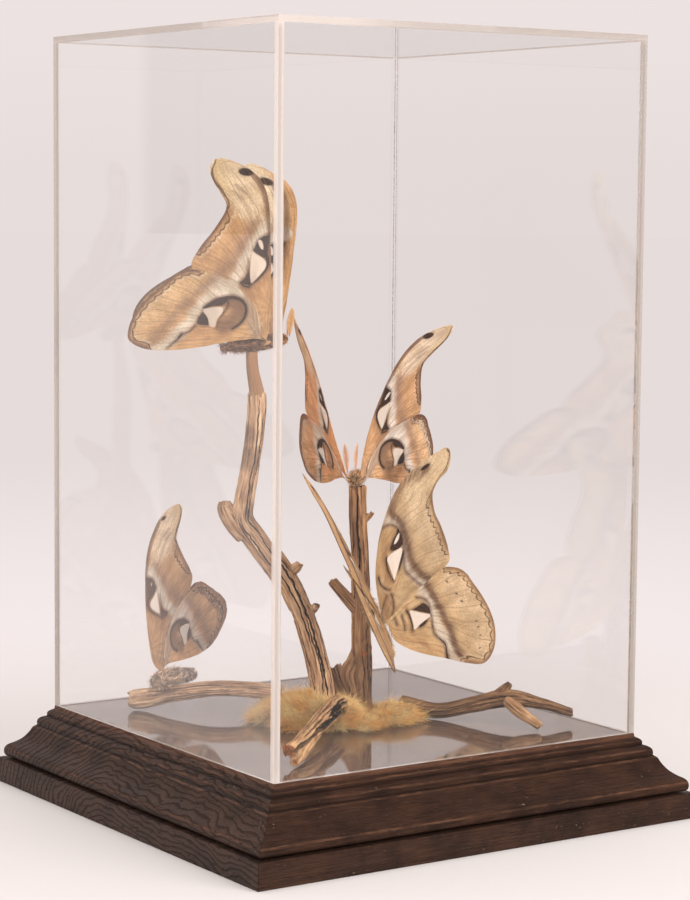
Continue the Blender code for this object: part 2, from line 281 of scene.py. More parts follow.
class Surface(Nodes):
    """A node material round a Principled shader."""

    def __init__(self, name, **sockets):
        self.material = bpy.data.materials.new(name)
        self.material.use_nodes = True
        super().__init__(self.material.node_tree)
        self.shader = self.nodes["Principled BSDF"]
        for socket, value in sockets.items():
            self.shader.inputs[socket.replace("_", " ")].default_value = value

    def place(self):
        """Object coordinates in millimetres."""
        return self.stretch(self.node("TexCoord", "Object"), (1 / MM, 1 / MM, 1 / MM))

    def stretch(self, vector, scale):
        return self.node("Mapping", Vector=vector, Scale=scale)

    def parts(self, vector):
        """A vector's x, y and z."""
        made = self.nodes.new("ShaderNodeSeparateXYZ")
        self.links.new(vector, made.inputs[0])
        return tuple(made.outputs)

    def noise(self, vector, scale, detail=3.0, rough=0.55, twist=0.0):
        return self.node("TexNoise", Vector=vector, Scale=scale, Detail=detail, Roughness=rough,
                         Distortion=twist)

    def attribute(self, name, out="Fac"):
        return self.node("Attribute", out, {"attribute_name": name})

    def mix(self, amount, first, second, blend="MIX"):
        made = self.nodes.new("ShaderNodeMix")
        made.data_type = "RGBA"
        made.blend_type = blend
        for index, value in ((0, amount), (6, first), (7, second)):
            if isinstance(value, tuple) and len(value) == 3:
                value = (*value, 1.0)
            self.feed(made.inputs[index], value)
        return made.outputs[2]

    def lay(self, amount, strength, ground, colour):
        """Lays a colour over the ground by an amount, at a strength that is the same all over."""
        return self.mix(self.times(amount, strength), ground, colour)

    def shade(self, ground, amount, dark, light, strength=1.0):
        """Multiplies the ground by a colour between dark and light."""
        return self.mix(strength, ground, self.mix(amount, dark, light), "MULTIPLY")

    def ramp(self, value, *stops):
        made = self.nodes.new("ShaderNodeValToRGB")
        self.feed(made.inputs[0], value)
        elements = made.color_ramp.elements
        for index, (place, colour) in enumerate(stops):
            element = elements[index] if index < 2 else elements.new(place)
            element.position = place
            element.color = (*colour, 1.0)
        return made.outputs[0]

    def one_shader(self, kind, colour):
        """A plain shader of one kind in a colour."""
        return self.node("Bsdf" + kind, Color=(*colour, 1) if isinstance(colour, tuple) else colour)

    def blend(self, amount, first, second):
        """Two shaders mixed."""
        return self.node("MixShader", i0=amount, i1=first, i2=second)

    def show(self, shader):
        self.links.new(shader, self.nodes["Material Output"].inputs["Surface"])

    def bump(self, height, distance, strength=1.0):
        made = self.node("Bump", Height=height, Distance=distance, Strength=strength)
        self.links.new(made, self.shader.inputs["Normal"])

    def colour(self, value):
        self.feed(self.shader.inputs["Base Color"], value)

    def roughness(self, value):
        self.feed(self.shader.inputs["Roughness"], value)


# The oak's light and dark stains, on the sides and along the front, the sides' a little lighter as a
# painted sheen, and its other colours.
OAK_STAINS_AND_SIDE_SHEEN = {"y": ((0.050, 0.027, 0.0195), (0.028, 0.017, 0.013)),
              "x": ((0.044, 0.0205, 0.0125), (0.022, 0.0115, 0.0082))}
OAK_LIP, OAK_EDGE_WEAR_AND_HIGHLIGHT, OAK_BARE = (0.120, 0.056, 0.034), (0.108, 0.052, 0.030), (0.42, 0.27, 0.18)
OAK_DIRT_AND_SHADE, OAK_LATE, OAK_PORE = (0.012, 0.007, 0.005), (0.013, 0.007, 0.005), (0.012, 0.008, 0.007)

# The moulding's edges, lighter with wear and a painted highlight, and its hollows, darker with dirt and
# painted shade, as depths below the panel's face and half widths.
WORN_AND_HIGHLIT_EDGES = ((4.9, 0.9), (10.9, 1.0), (16.3, 0.8), (33.2, 1.1))
HOLLOWS_DIRT_AND_SHADE = ((7.5, 0.8), (15.0, 0.9), (39.4, 1.5))
CHIPPED_CORNER = (-163.0, -163.0, 37.0)


def level_lines(wood, level, lines):
    """One along lines at these depths below the panel's face, and nothing between them."""
    found = 0.0
    for down, half in lines:
        gap = wood.size(wood.math("SUBTRACT", level, PANEL_TOP - down))
        found = wood.most(found, wood.between(gap, half, 0.25 * half))
    return found


def oak(name, along):
    """Dark stained oak with open pores. Its grain runs along x or along y, where flat-sawn rings show."""
    wood = Surface(name, Roughness=0.42, Specular_IOR_Level=0.15)
    place = wood.place()
    _, y, z = wood.parts(place)
    if along == "y":
        sway = wood.plus(wood.times(wood.noise(place, 0.018, 2.0, 0.5), 26.0),
                         wood.times(wood.noise(place, 0.07, 3.0, 0.5), 5.0))
        far = wood.most(wood.math("SUBTRACT", y, 5.0), 0.0)
        far = wood.times(far, wood.between(y, -10, 90, 0.35, 0.8))
        rise = wood.plus(wood.plus(wood.times(z, 1.15), wood.times(y, -0.10)), 26.0)
        reach = wood.math("SQRT", wood.plus(wood.times(far, far), wood.times(rise, rise)))
        ring = wood.math("FRACT", wood.math("DIVIDE", wood.plus(reach, sway), 4.3))
        late = wood.times(wood.between(ring, 0.45, 0.88), wood.between(ring, 1.0, 0.93))
        pores = wood.noise(wood.stretch(place, (0.9, 0.10, 0.5)), 1.6, 2.0, 0.6)
    else:
        streak = wood.noise(wood.stretch(place, (0.007, 0.8, 0.45)), 1.0, 5.0, 0.62, 0.5)
        ring = wood.math("FRACT", wood.times(streak, 8.0))
        late = wood.times(wood.between(ring, 0.35, 0.9), wood.between(ring, 1.0, 0.9))
        pores = wood.noise(wood.stretch(place, (0.035, 0.9, 0.8)), 1.7, 3.0, 0.6)
    pore = wood.between(pores, 0.56, 0.68)
    cloud = wood.noise(place, 0.03, 3.0, 0.6)
    # The sides' stains are laid a little lighter, a painted sheen.
    stain_and_shade = wood.mix(wood.between(cloud, 0.35, 0.7), *OAK_STAINS_AND_SIDE_SHEEN[along])
    stain_and_shade = wood.lay(wood.between(z, PANEL_TOP - 3.4, PANEL_TOP - 2.2), 0.7, stain_and_shade, OAK_LIP)
    waver = wood.times(wood.math("SUBTRACT", wood.noise(place, 0.12, 3.0, 0.6), 0.5), 1.4)
    level = wood.plus(z, waver)
    # Painted highlight, with some wear: the moulding's edges are laid lighter along their levels.
    edge_wear_and_highlight = wood.between(wood.noise(place, 0.05, 5.0, 0.65), 0.40, 0.62, 0.15, 0.75)
    stain_and_shade = wood.mix(wood.times(level_lines(wood, level, WORN_AND_HIGHLIT_EDGES), edge_wear_and_highlight), stain_and_shade, OAK_EDGE_WEAR_AND_HIGHLIGHT)
    # Painted shade, with some dirt: the moulding's hollows are laid darker.
    stain_and_shade = wood.lay(level_lines(wood, level, HOLLOWS_DIRT_AND_SHADE), 0.75, stain_and_shade, OAK_DIRT_AND_SHADE)
    stain_and_shade = wood.lay(late, 0.55, stain_and_shade, OAK_LATE)
    stain_and_shade = wood.lay(pore, 0.75, stain_and_shade, OAK_PORE)
    rub = wood.noise(place, 0.35, 5.0, 0.7)
    worn = wood.times(wood.between(rub, 0.655, 0.69), wood.between(cloud, 0.42, 0.60))
    corner = wood.node("VectorMath", "Value", {"operation": "DISTANCE"}, i0=place, i1=CHIPPED_CORNER)
    near = wood.times(wood.between(corner, 9.0, 4.0), wood.between(rub, 0.60, 0.64))
    wood.colour(wood.lay(wood.most(worn, near), 0.5, stain_and_shade, OAK_BARE))
    wood.roughness(wood.between(wood.plus(late, pore), 0.0, 1.0, 0.38, 0.62))
    wood.bump(wood.plus(wood.times(late, -0.5), wood.times(pore, -0.6)), 0.00022, 0.7)
    return wood.material


def gloss_panel():
    """Polished black sheet with a little dust, a few smears and very shallow waves. Its warm grey cloud is
    partly smears and partly a painted reflection of the pale room.
    """
    sheet = Surface("black gloss panel", IOR=1.72)
    place = sheet.place()
    cloud = sheet.noise(place, 0.02, 4.0, 0.6, 0.5)
    grains = sheet.node("TexVoronoi", "Distance", Vector=place, Scale=0.16)
    speck = sheet.times(sheet.between(grains, 0.11, 0.06),
                        sheet.between(sheet.noise(place, 0.06, 2.0), 0.5, 0.6))
    dust = sheet.between(sheet.noise(place, 1.4, 5.0, 0.75), 0.60, 0.72)
    smear_and_reflection = sheet.between(cloud, 0.36, 0.72, 0.55, 1.0)
    # Warm grey laid into the black: partly smears, partly a painted reflection of the pale room.
    grey = sheet.mix(smear_and_reflection, (0.010, 0.008, 0.007), (0.125, 0.076, 0.054))
    grey = sheet.lay(dust, 0.06, grey, (0.30, 0.25, 0.21))
    grey = sheet.lay(speck, 0.5, grey, (0.42, 0.36, 0.30))
    sheet.colour(grey)
    sheet.roughness(sheet.plus(sheet.between(cloud, 0.35, 0.75, 0.035, 0.09), sheet.times(speck, 0.5)))
    sheet.bump(sheet.noise(place, 0.018, 1.0, 0.4), 0.0001, 0.1)
    return sheet.material


# The glue in the cover's joints: milky, partly a painted highlight where the sheet edges catch light,
# brighter in the near corner as more painted highlight, and dark in the far one.
MILK, NEAR_MILK_HIGHLIGHT, FAR_GLUE = (0.55, 0.50, 0.465), (0.72, 0.66, 0.62), (0.16, 0.13, 0.11)


def acrylic(name):
    """Clear acrylic sheet. Its glued joints and its lower edge are hazy and creamy, the joints partly as a
    painted highlight where the sheet edges catch light.
    """
    clear = Surface(name, Base_Color=(1.0, 0.998, 0.995, 1), Roughness=0.0, IOR=1.49,
                    Transmission_Weight=1.0, Specular_IOR_Level=0.32)
    place = clear.place()
    x, y, z = clear.parts(place)
    inner, under_top = COVER_HALF - SHEET, COVER_TOP - SHEET
    east, north = (clear.between(clear.size(way), inner - 0.6, inner - 0.4) for way in (x, y))
    high = clear.between(z, under_top - 0.6, under_top - 0.4)
    low = clear.between(z, PANEL_TOP + 1.1, PANEL_TOP + 0.7)
    corner, across = clear.times(east, north), clear.plus(x, y)
    back = clear.times(corner, clear.between(across, 100, 200))
    beads = clear.noise(clear.stretch(place, (0.2, 0.2, 0.9)), 1.0, 2.0, 0.6)
    seam = clear.between(clear.size(clear.math("SUBTRACT", y, inner - 0.2)), 0.7, 0.35)
    seam = clear.times(seam, clear.between(beads, 0.40, 0.60, 0.25, 0.8))
    joint = clear.most(clear.math("SUBTRACT", corner, back), clear.times(high, clear.most(east, north)))
    # Painted highlight: the joints are laid lighter in the near corner.
    milk = clear.mix(clear.between(across, -180, -260), MILK, NEAR_MILK_HIGHLIGHT)
    milk = clear.blend(0.5, clear.one_shader("Diffuse", milk), clear.one_shader("Translucent", milk))
    amount = clear.most(clear.times(joint, 0.72), clear.times(low, 0.30))
    both = clear.blend(amount, clear.shader.outputs[0], milk)
    line = clear.blend(seam, clear.one_shader("Transparent", (1, 1, 1)),
                       clear.one_shader("Diffuse", FAR_GLUE))
    both = clear.blend(back, both, line)
    passed = clear.one_shader("Transparent", (0.985, 0.98, 0.975))
    clear.show(clear.blend(clear.node("LightPath", "Is Shadow Ray"), both, passed))
    return clear.material


# ---------------------------------------------------------------- plinth, panel and cover

# The moulding as runs of points (outward from the cover, below the panel's face), each a smooth curve.
LIP = [(0.0, 0.0), (0.25, 0.9), (0.5, 2.3), (2.2, 3.3), (3.7, 4.5), (4.3, 5.8), (4.3, 7.3)]
ROUND = [(4.5, 7.8), (7.0, 8.7), (9.1, 10.4), (9.8, 12.6), (9.7, 14.7)]
SWEEP = [(10.3, 15.2), (12.0, 16.5), (12.9, 18.1), (14.1, 20.4), (17.3, 24.8), (21.5, 28.2), (25.6, 30.6),
         (27.5, 33.2), (27.8, 36.8), (26.7, 38.9), (24.0, 39.9)]
BOARD_OUT, BOARD_IN, BOARD_TOP = 31.1, -34.0, 18.2
PANEL_BED = PANEL_TOP - 6.6

# The gap left at each mitre, and the steps along a rail.
JOINT, RAIL_STEPS = 0.16, 30


def section():
    """The moulding's outline as (outward, height) points."""
    outline = []
    for run in (LIP, ROUND, SWEEP):
        places = np.linspace(0, len(run) - 1, 4 * (len(run) - 1) + 1)
        outline += [(out, PANEL_TOP - down) for out, down in curve_rows(run, places)]
    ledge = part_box("moulding_front")[0].z / MM
    return outline + [(BOARD_IN, ledge), (BOARD_IN, PANEL_BED), (-SHEET, PANEL_BED),
                      (-SHEET, PANEL_TOP - 0.1)]


def board_section():
    """The lower board's outline, its two outer edges a little rounded."""
    outline = []
    for middle, first in (((BOARD_OUT - 1.1, BOARD_TOP - 1.1), 90), ((BOARD_OUT - 0.7, 0.7), 0)):
        size = BOARD_OUT - middle[0]
        for turn in range(0, 91, 15):
            angle = math.radians(first - turn)
            outline.append((middle[0] + size * math.cos(angle), middle[1] + size * math.sin(angle)))
    return outline + [(BOARD_IN, 0.0), (BOARD_IN, BOARD_TOP)]


def rail(name, outline, turn, finish):
    """One side of the plinth: its outline pulled along the side and cut to a mitre at both ends."""
    clear_selection()
    bpy.ops.mesh.primitive_circle_add(vertices=len(outline), radius=1, fill_type="NGON")
    piece = take_new(name + "_rail")
    put_points(piece, [(-1.0, -(COVER_HALF + out), height) for out, height in outline])
    extrude(RAIL_STEPS, (2 * MM / RAIL_STEPS, 0, 0))
    points = points_of(piece)
    reach = -points[:, 1] - JOINT
    points[:, 0] *= reach
    uneven = 0.07 * wander(points[:, 0] / 60, points[:, 1] / 30, points[:, 2] / 30, 4.0 * turn + 1)
    points[:, 1] -= uneven * (np.abs(points[:, 0]) < reach - 1)
    points[:, 0], points[:, 1] = spun(*points[:, :2].T.copy(), math.radians(90 * turn))
    put_points(piece, points)
    weld(piece)
    smooth(piece, 40)
    return finish_piece(piece, finish, "oak", name)


def refinish(node, finish):
    """Gives a node of the CAD its finish and leaves its shape."""
    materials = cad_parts[node].data.materials
    materials.clear()
    materials.append(finish)


def plinth():
    """Boards and mouldings in oak. The gloss panel keeps the shape it has in the CAD."""
    long, cross = oak("oak along the front", "x"), oak("oak along the sides", "y")
    for turn, side in enumerate(("front", "right", "back", "left")):
        finish = cross if side in ("left", "right") else long
        rail("moulding_" + side, section(), turn, finish)
        rail("base_board_" + side, board_section(), turn, finish)
    refinish("display_panel", gloss_panel())


def cover():
    """The acrylic sheets keep the shapes they have in the CAD."""
    finish = acrylic("clear acrylic")
    for side in ("left", "right", "front", "back", "top"):
        refinish("cover_" + side, finish)


# ---------------------------------------------------------------- wings

# Wing outlines as ribs: leading s and c, trailing s and c. s runs from the root to the tip, c to the tail.
FORE_A = [
    (5, -3, 5, 3), (20, -9, 14, 7), (36, -14, 30, 15), (56, -20, 50, 27), (66, -22.5, 65, 36),
    (76, -25.5, 76, 27.5), (91, -29, 87, 12.5), (102, -30, 99, 0.5), (111, -28.5, 110, 1.5),
    (118, -25, 119, 4), (124, -20, 126, 4.5), (130, -13, 131, 3), (134, -6, 134.5, -1),
]
HIND_A = [
    (4, 3, 3, 6), (12, 0.5, 5, 16), (22, 0.5, 7, 30), (33, 4, 8.5, 47), (43, 9.5, 12, 68),
    (51, 17, 18, 87), (57, 25, 27, 97), (61.5, 33, 35.5, 95), (64, 40, 44, 88),
    (64, 45, 51, 78), (63.5, 49, 57, 65), (62.5, 53, 60, 58),
]
FORE_C = [
    (5, -5, 4, 3), (17, -14, 12, 8), (31, -22, 26, 16), (47, -27, 42, 27), (56, -29, 56, 37),
    (66, -30, 66, 32), (78, -30, 78, 20), (88, -29, 86, 10), (98, -26, 97, 3), (107, -21, 107, 4),
    (116, -14.5, 116, 8.5), (125, -6, 125, 8), (131, 0, 131.5, 4),
]
HIND_C = [
    (4, 3, -1, 5), (11, 1, -8, 14), (20, 2, -10, 28), (30, 5, -9, 44), (39, 11, -6, 62),
    (46, 19, -3, 82), (51, 27, 2, 98), (54.5, 35, 14, 102), (56.5, 42, 27, 97),
    (57, 47, 38, 86.5), (56.5, 51, 46, 74), (55.5, 55, 51.5, 62),
]
FORE_D = [
    (5, -10, 4, 5), (17, -18, 14, 9), (33, -25, 30, 15), (50, -30.5, 47, 24), (60, -33, 64, 31),
    (70, -35.5, 71, 27), (81, -36, 80, 16), (92, -33.5, 92, 3), (100, -29.5, 98, 2.5),
    (107, -24.5, 105, 4.5), (112, -18, 111, 6), (115.5, -11, 115.5, 6), (118, -3, 118, 1.5),
]
HIND_D = [
    (5, 3, 4, 6), (11, 1, 5.5, 14), (20, 1, 6.5, 27), (31, 4, 8, 40), (41, 10, 10.5, 53),
    (49, 18, 16, 68), (55, 26, 27, 80), (59, 33, 36.5, 86), (62, 39, 43, 85.5),
    (62.5, 43, 49.5, 80), (61.5, 48, 53.5, 71), (59.5, 53, 57, 61),
]

# Colours of the scales.
TAN, GOLD, STRAW = (0.53, 0.30, 0.145), (0.64, 0.385, 0.19), (0.72, 0.52, 0.30)
CREAM, CHALK, YOLK = (0.77, 0.62, 0.45), (0.74, 0.65, 0.55), (0.78, 0.60, 0.30)
DUSK, MAUVE, COCOA = (0.26, 0.135, 0.08), (0.33, 0.195, 0.135), (0.17, 0.08, 0.045)
ASH, RUST, INK = (0.46, 0.33, 0.235), (0.42, 0.21, 0.10), (0.046, 0.018, 0.008)

# Each pattern holds, in the wing's own s and c: a ground colour; washes of (colour, strength, spread,
# hardness, points) laid one on another; clear windows; dark patches; dark bars of (half width at the
# start, at the end, points); the wavy line inside the margin as its distance from the edge near the
# root and near the tip and the depth of its scallops; and spots of (colour, s, c, long, wide, turn).
# A wash of hardness 3 is broken into streaks, and one of hardness 4 has a lobed edge.
UNDER_FORE = {
    "hind": False,
    "ground": TAN,
    "washes": [
        (GOLD, 0.8, 16, 2, [(96, -2), (84, 6), (76, 18), (66, 26)]),
        (GOLD, 0.7, 12, 2, [(4, 0), (25, -4), (44, -12)]),
        (ASH, 0.55, 3.5, 2, [(10, 2), (28, 6), (42, 12)]),
        (CREAM, 0.92, 13, 4, [(100, -16), (112, -14), (124, -9)]),
        (CREAM, 0.75, 8, 3, [(82, -20), (96, -14), (108, -6)]),
        (CREAM, 0.85, 11, 4, [(114, -10), (124, -7), (131, -4)]),
        (YOLK, 0.45, 5, 2, [(132, -3), (124, 1), (112, -2)]),
        (CHALK, 0.95, 4.6, 4, [(79, -26), (75, -19), (66.4, -8.9), (59, -1.5), (51, 5), (45, 13),
                               (42, 24)]),
        (MAUVE, 0.66, 4.2, 2, [(82, -15), (76.3, -9), (69.5, -3), (63, 4), (58.4, 10.5), (54, 20),
                               (52, 30)]),
        (COCOA, 0.75, 3.0, 4, [(62, -22), (80, -26.5), (96, -29), (108, -28), (116, -25)]),
        (DUSK, 0.45, 0.9, 2, [(113, -10), (102.6, -17), (91, -18.5), (83.5, -19.4)]),
        (DUSK, 0.35, 0.9, 2, [(112, -5), (104.5, -10), (96, -14), (88, -15.5)]),
        (DUSK, 0.30, 0.8, 2, [(113, -19), (107, -23), (100, -26), (93.5, -27)]),
        (RUST, 0.5, 2.4, 2, [(62, -22), (52, -19), (44, -13), (38, -4)]),
        (RUST, 0.75, 3.0, 2, [(46, 3), (39, 2), (32, 0)]),
        (COCOA, 0.55, 3.2, 2, [(66, -19), (60, -19), (54, -18)]),
        (RUST, 0.45, 1.6, 2, [(124, 2), (114, 1), (104, 0.5), (97, 2)]),
    ],
    "windows": [
        [(70, -14.5), (69.9, -16.6), (65.8, -17.2), (62.7, -16.1), (64, -14.9), (67.3, -14.2)],
        [(64.4, -8.5), (60.2, -11.3), (56.5, -14.5), (53.1, -15.6), (49.5, -13.7), (46.2, -9),
         (43.8, -4.7), (42.6, -1.4), (50.4, -3), (58.1, -5.9)],
    ],
    "patches": [
        [(72.2, -25), (72.2, -19), (70.6, -14.6), (66.3, -10.6), (63.8, -8.9), (60, -11.6), (56.6, -15.2),
         (57.5, -18), (62.5, -20.2), (67.5, -22.4)],
        [(59.5, -4.2), (51, -0.8), (47, 2.6), (44.9, 6.6), (42.3, 3.2), (40.4, -0.6), (47, -1.9)],
    ],
    "bars": [
        (1.9, 0.7, [(57.5, -17.5), (52.5, -16.6), (48.6, -14), (45.2, -9.5), (42.6, -4.5), (40.8, -0.6)]),
        (1.0, 1.0, [(44.8, 6), (41.6, 4), (39.8, 0.4)]),
    ],
    "wave": (3.4, 5.4, 1.6),
    "spots": [(INK, 119.5, -19.9, 5.6, 2.9, 65), (CREAM, 90.1, -8.2, 2.6, 1.7, 30),
              (CREAM, 85.3, -21.7, 2.8, 1.8, 0), (CREAM, 93.5, -9.5, 1.6, 1.2, 0)],
}
UNDER_HIND = {
    "hind": True,
    "ground": GOLD,
    "washes": [
        (STRAW, 0.55, 9, 2, [(56, 40), (50, 56), (44, 72), (34, 86)]),
        (ASH, 0.85, 9, 4, [(6, 2), (22, 3), (38, 8), (48, 18)]),
        (CREAM, 0.55, 2.0, 2, [(11, 1.1), (19, -1.2), (29.5, 0.7), (39.3, 5.1), (46, 14)]),
        (ASH, 0.5, 1.6, 2, [(10, 5), (24, 4.5), (35, 6.5)]),
        (GOLD, 0.9, 7, 4, [(10, 20), (13, 40), (17, 56), (15, 72)]),
        (CHALK, 0.95, 4.4, 4, [(38, 10), (42, 19.4), (40.2, 30.3), (37.4, 38.4), (32.6, 45), (27.9, 50.3),
                               (24.6, 56.5), (21.3, 63), (17.9, 70.9), (16, 80)]),
        (CHALK, 0.6, 5, 2, [(45, 13), (48, 20), (46, 30)]),
        (MAUVE, 0.62, 3.8, 2, [(54, 22), (49.6, 31), (45.9, 40), (40.6, 50), (36.6, 57.5), (32.6, 64.5),
                               (28.3, 71), (24, 79), (20, 88)]),
        (COCOA, 0.8, 3.0, 3, [(35, 32), (36.3, 26), (35, 19)]),
        ((0.26, 0.14, 0.075), 0.95, 5.4, 4, [(17.6, 29), (19, 22), (23, 15.5), (28.5, 12.5), (33, 16)]),
        ((0.36, 0.20, 0.11), 0.7, 2.2, 3, [(20, 30), (23, 24), (27, 18.5)]),
        (RUST, 0.55, 3.2, 2, [(20, 49), (18.5, 42), (19, 34)]),
        (RUST, 0.35, 1.6, 2, [(11, 24), (13.5, 42), (16, 56)]),
    ],
    "windows": [
        [(34, 37.6), (33.1, 30.1), (31.1, 24), (27.6, 25.6), (24.6, 30.1), (19.7, 33.4), (21.1, 37),
         (27.1, 36.7), (31.9, 38.3)],
    ],
    "patches": [
        [(34.6, 37), (36.6, 31), (37.6, 24), (36.6, 18.5), (34.4, 18.4), (33.2, 22), (32.4, 25),
         (33.8, 30.5)],
        [(33, 38.6), (27.1, 36.5), (21.7, 36.8), (24.1, 44.9), (27.8, 45), (31.4, 40.9)],
    ],
    "bars": [
        (1.2, 2.1, [(14.8, 21.4), (16.7, 15.2), (21.1, 9.8), (27.1, 7.4), (32.5, 9.4), (36, 14.8),
                    (37.2, 22.5), (36.7, 29), (34.5, 36.6)]),
        (0.9, 0.25, [(33.5, 18.6), (29.6, 21.6), (26, 26.2), (22.6, 30), (18.4, 32.2)]),
        (0.5, 0.4, [(24.7, 46.5), (21.4, 52.8), (20.6, 59), (17.2, 65), (14.9, 70.5)]),
        (1.4, 0.3, [(21, 58.5), (17.6, 64.5), (14.4, 72)]),
    ],
    "wave": (3.5, 3.5, 1.3),
    "spots": [],
}
UPPER_FORE = {
    "hind": False,
    "ground": STRAW,
    "washes": [
        (CREAM, 0.5, 10, 2, [(84, -6), (72, 8), (60, 24)]),
        ((0.95, 0.77, 0.53), 0.85, 15, 2, [(88, -8), (100, -9), (112, -5), (124, 0)]),
        (STRAW, 0.7, 2.4, 2, [(131, 3), (122, 8), (112, 7), (102, 4), (92, 3)]),
        (RUST, 0.35, 1.4, 2, [(131, 4), (122, 9), (112, 8.5), (102, 4.5), (92, 4)]),
        ((0.66, 0.43, 0.21), 0.8, 12, 4, [(6, 0), (26, -8), (42, -16), (54, -22)]),
        (STRAW, 0.7, 5, 2, [(32, 2), (40, -8), (48, -20)]),
        (STRAW, 0.8, 9, 4, [(16, 6), (26, 10), (32, 20)]),
        (CHALK, 0.95, 3.4, 4, [(66, -30), (68.5, -24), (68.4, -18.6), (65.5, -13), (59.5, -8),
                               (52.6, -3.6), (46, -0.2), (41.2, 4.6), (37.6, 13), (35.4, 23), (34.3, 31)]),
        (MAUVE, 0.35, 4.4, 2, [(77, -27.5), (74, -20), (70.2, -13.4), (65, -8), (59.5, -3), (53.6, 1.2),
                               (48.4, 6), (44.6, 12), (42, 20), (40, 28)]),
        (COCOA, 0.95, 3.3, 3, [(74.4, -27), (71.6, -20.6), (68.4, -14.6), (64, -9.6), (59, -5),
                               (53.6, -0.8), (48.6, 3.6), (44.4, 9.6), (41.4, 17), (39.4, 26)]),
        (COCOA, 0.55, 1.9, 4, [(74.4, -27), (68.4, -14.6), (59, -5), (48.6, 3.6), (41.4, 17), (39.4, 26)]),
        (DUSK, 0.95, 4.4, 3, [(80, -28), (92, -26.5), (100, -22), (107, -16.4), (113, -9)]),
        (DUSK, 0.45, 3.5, 2, [(56, -30), (68, -31), (80, -31)]),
        (DUSK, 0.28, 0.9, 2, [(106, -11), (97, -17), (88, -20)]),
        (DUSK, 0.25, 0.9, 2, [(104, -6), (95, -11), (86, -15)]),
        (RUST, 0.55, 3.0, 2, [(50, -19), (42, -19), (34, -14), (29, -8)]),
        (RUST, 0.6, 3.6, 2, [(20, -7), (12, -2), (4, 0)]),
        (CREAM, 0.6, 1.4, 2, [(27, -14.6), (21.4, -10), (20.6, -4.8)]),
    ],
    "windows": [
        [(63.4, -13.6), (60.1, -14.8), (56.4, -15.2), (53.6, -14.6), (55.7, -13), (59, -12.4)],
        [(54, -7.4), (47.5, -13.7), (42.5, -16.1), (38.3, -12.1), (33.2, -6.9), (30.2, -3.7),
         (34.8, -3.9), (43.9, -4.6), (51, -5.5)],
    ],
    "patches": [
        [(63, -12.2), (60.5, -9), (57, -7.2), (53.7, -8), (50, -11.4), (48.4, -15.8), (51, -17.2),
         (56, -17.4), (61.4, -16.5), (65.4, -17)],
        [(54.6, -6.2), (49.6, -3.2), (41.9, -2.2), (35, -3), (43.8, -5), (50.9, -5.8)],
    ],
    "bars": [
        (0.5, 0.45, [(61.6, -29), (64.4, -25.9), (65.8, -22.6), (65.7, -19), (64.5, -15.2), (62.6, -12.1),
                     (58.5, -8.7), (53, -4.9), (47.2, -2.1), (41.4, 1), (38.2, 5), (36.2, 11.6), (34, 20),
                     (32.9, 30)]),
        (1.3, 0.7, [(42.6, -16.8), (38.2, -14.8), (33.2, -10), (29.6, -4.2)]),
        (0.9, 0.6, [(28.2, -18), (24.8, -15.1), (22.7, -10.3), (22.5, -5)]),
        (0.7, 0.5, [(20.6, -2.4), (15.4, 2), (9.4, 4.4), (3, 4.7)]),
        (0.4, 0.3, [(17.6, -5.8), (10.4, -5.6), (4, -4.8)]),
    ],
    "wave": (4.8, 5.4, 2.2),
    "spots": [(INK, 112.6, -11.2, 4.6, 1.5, 42)],
}
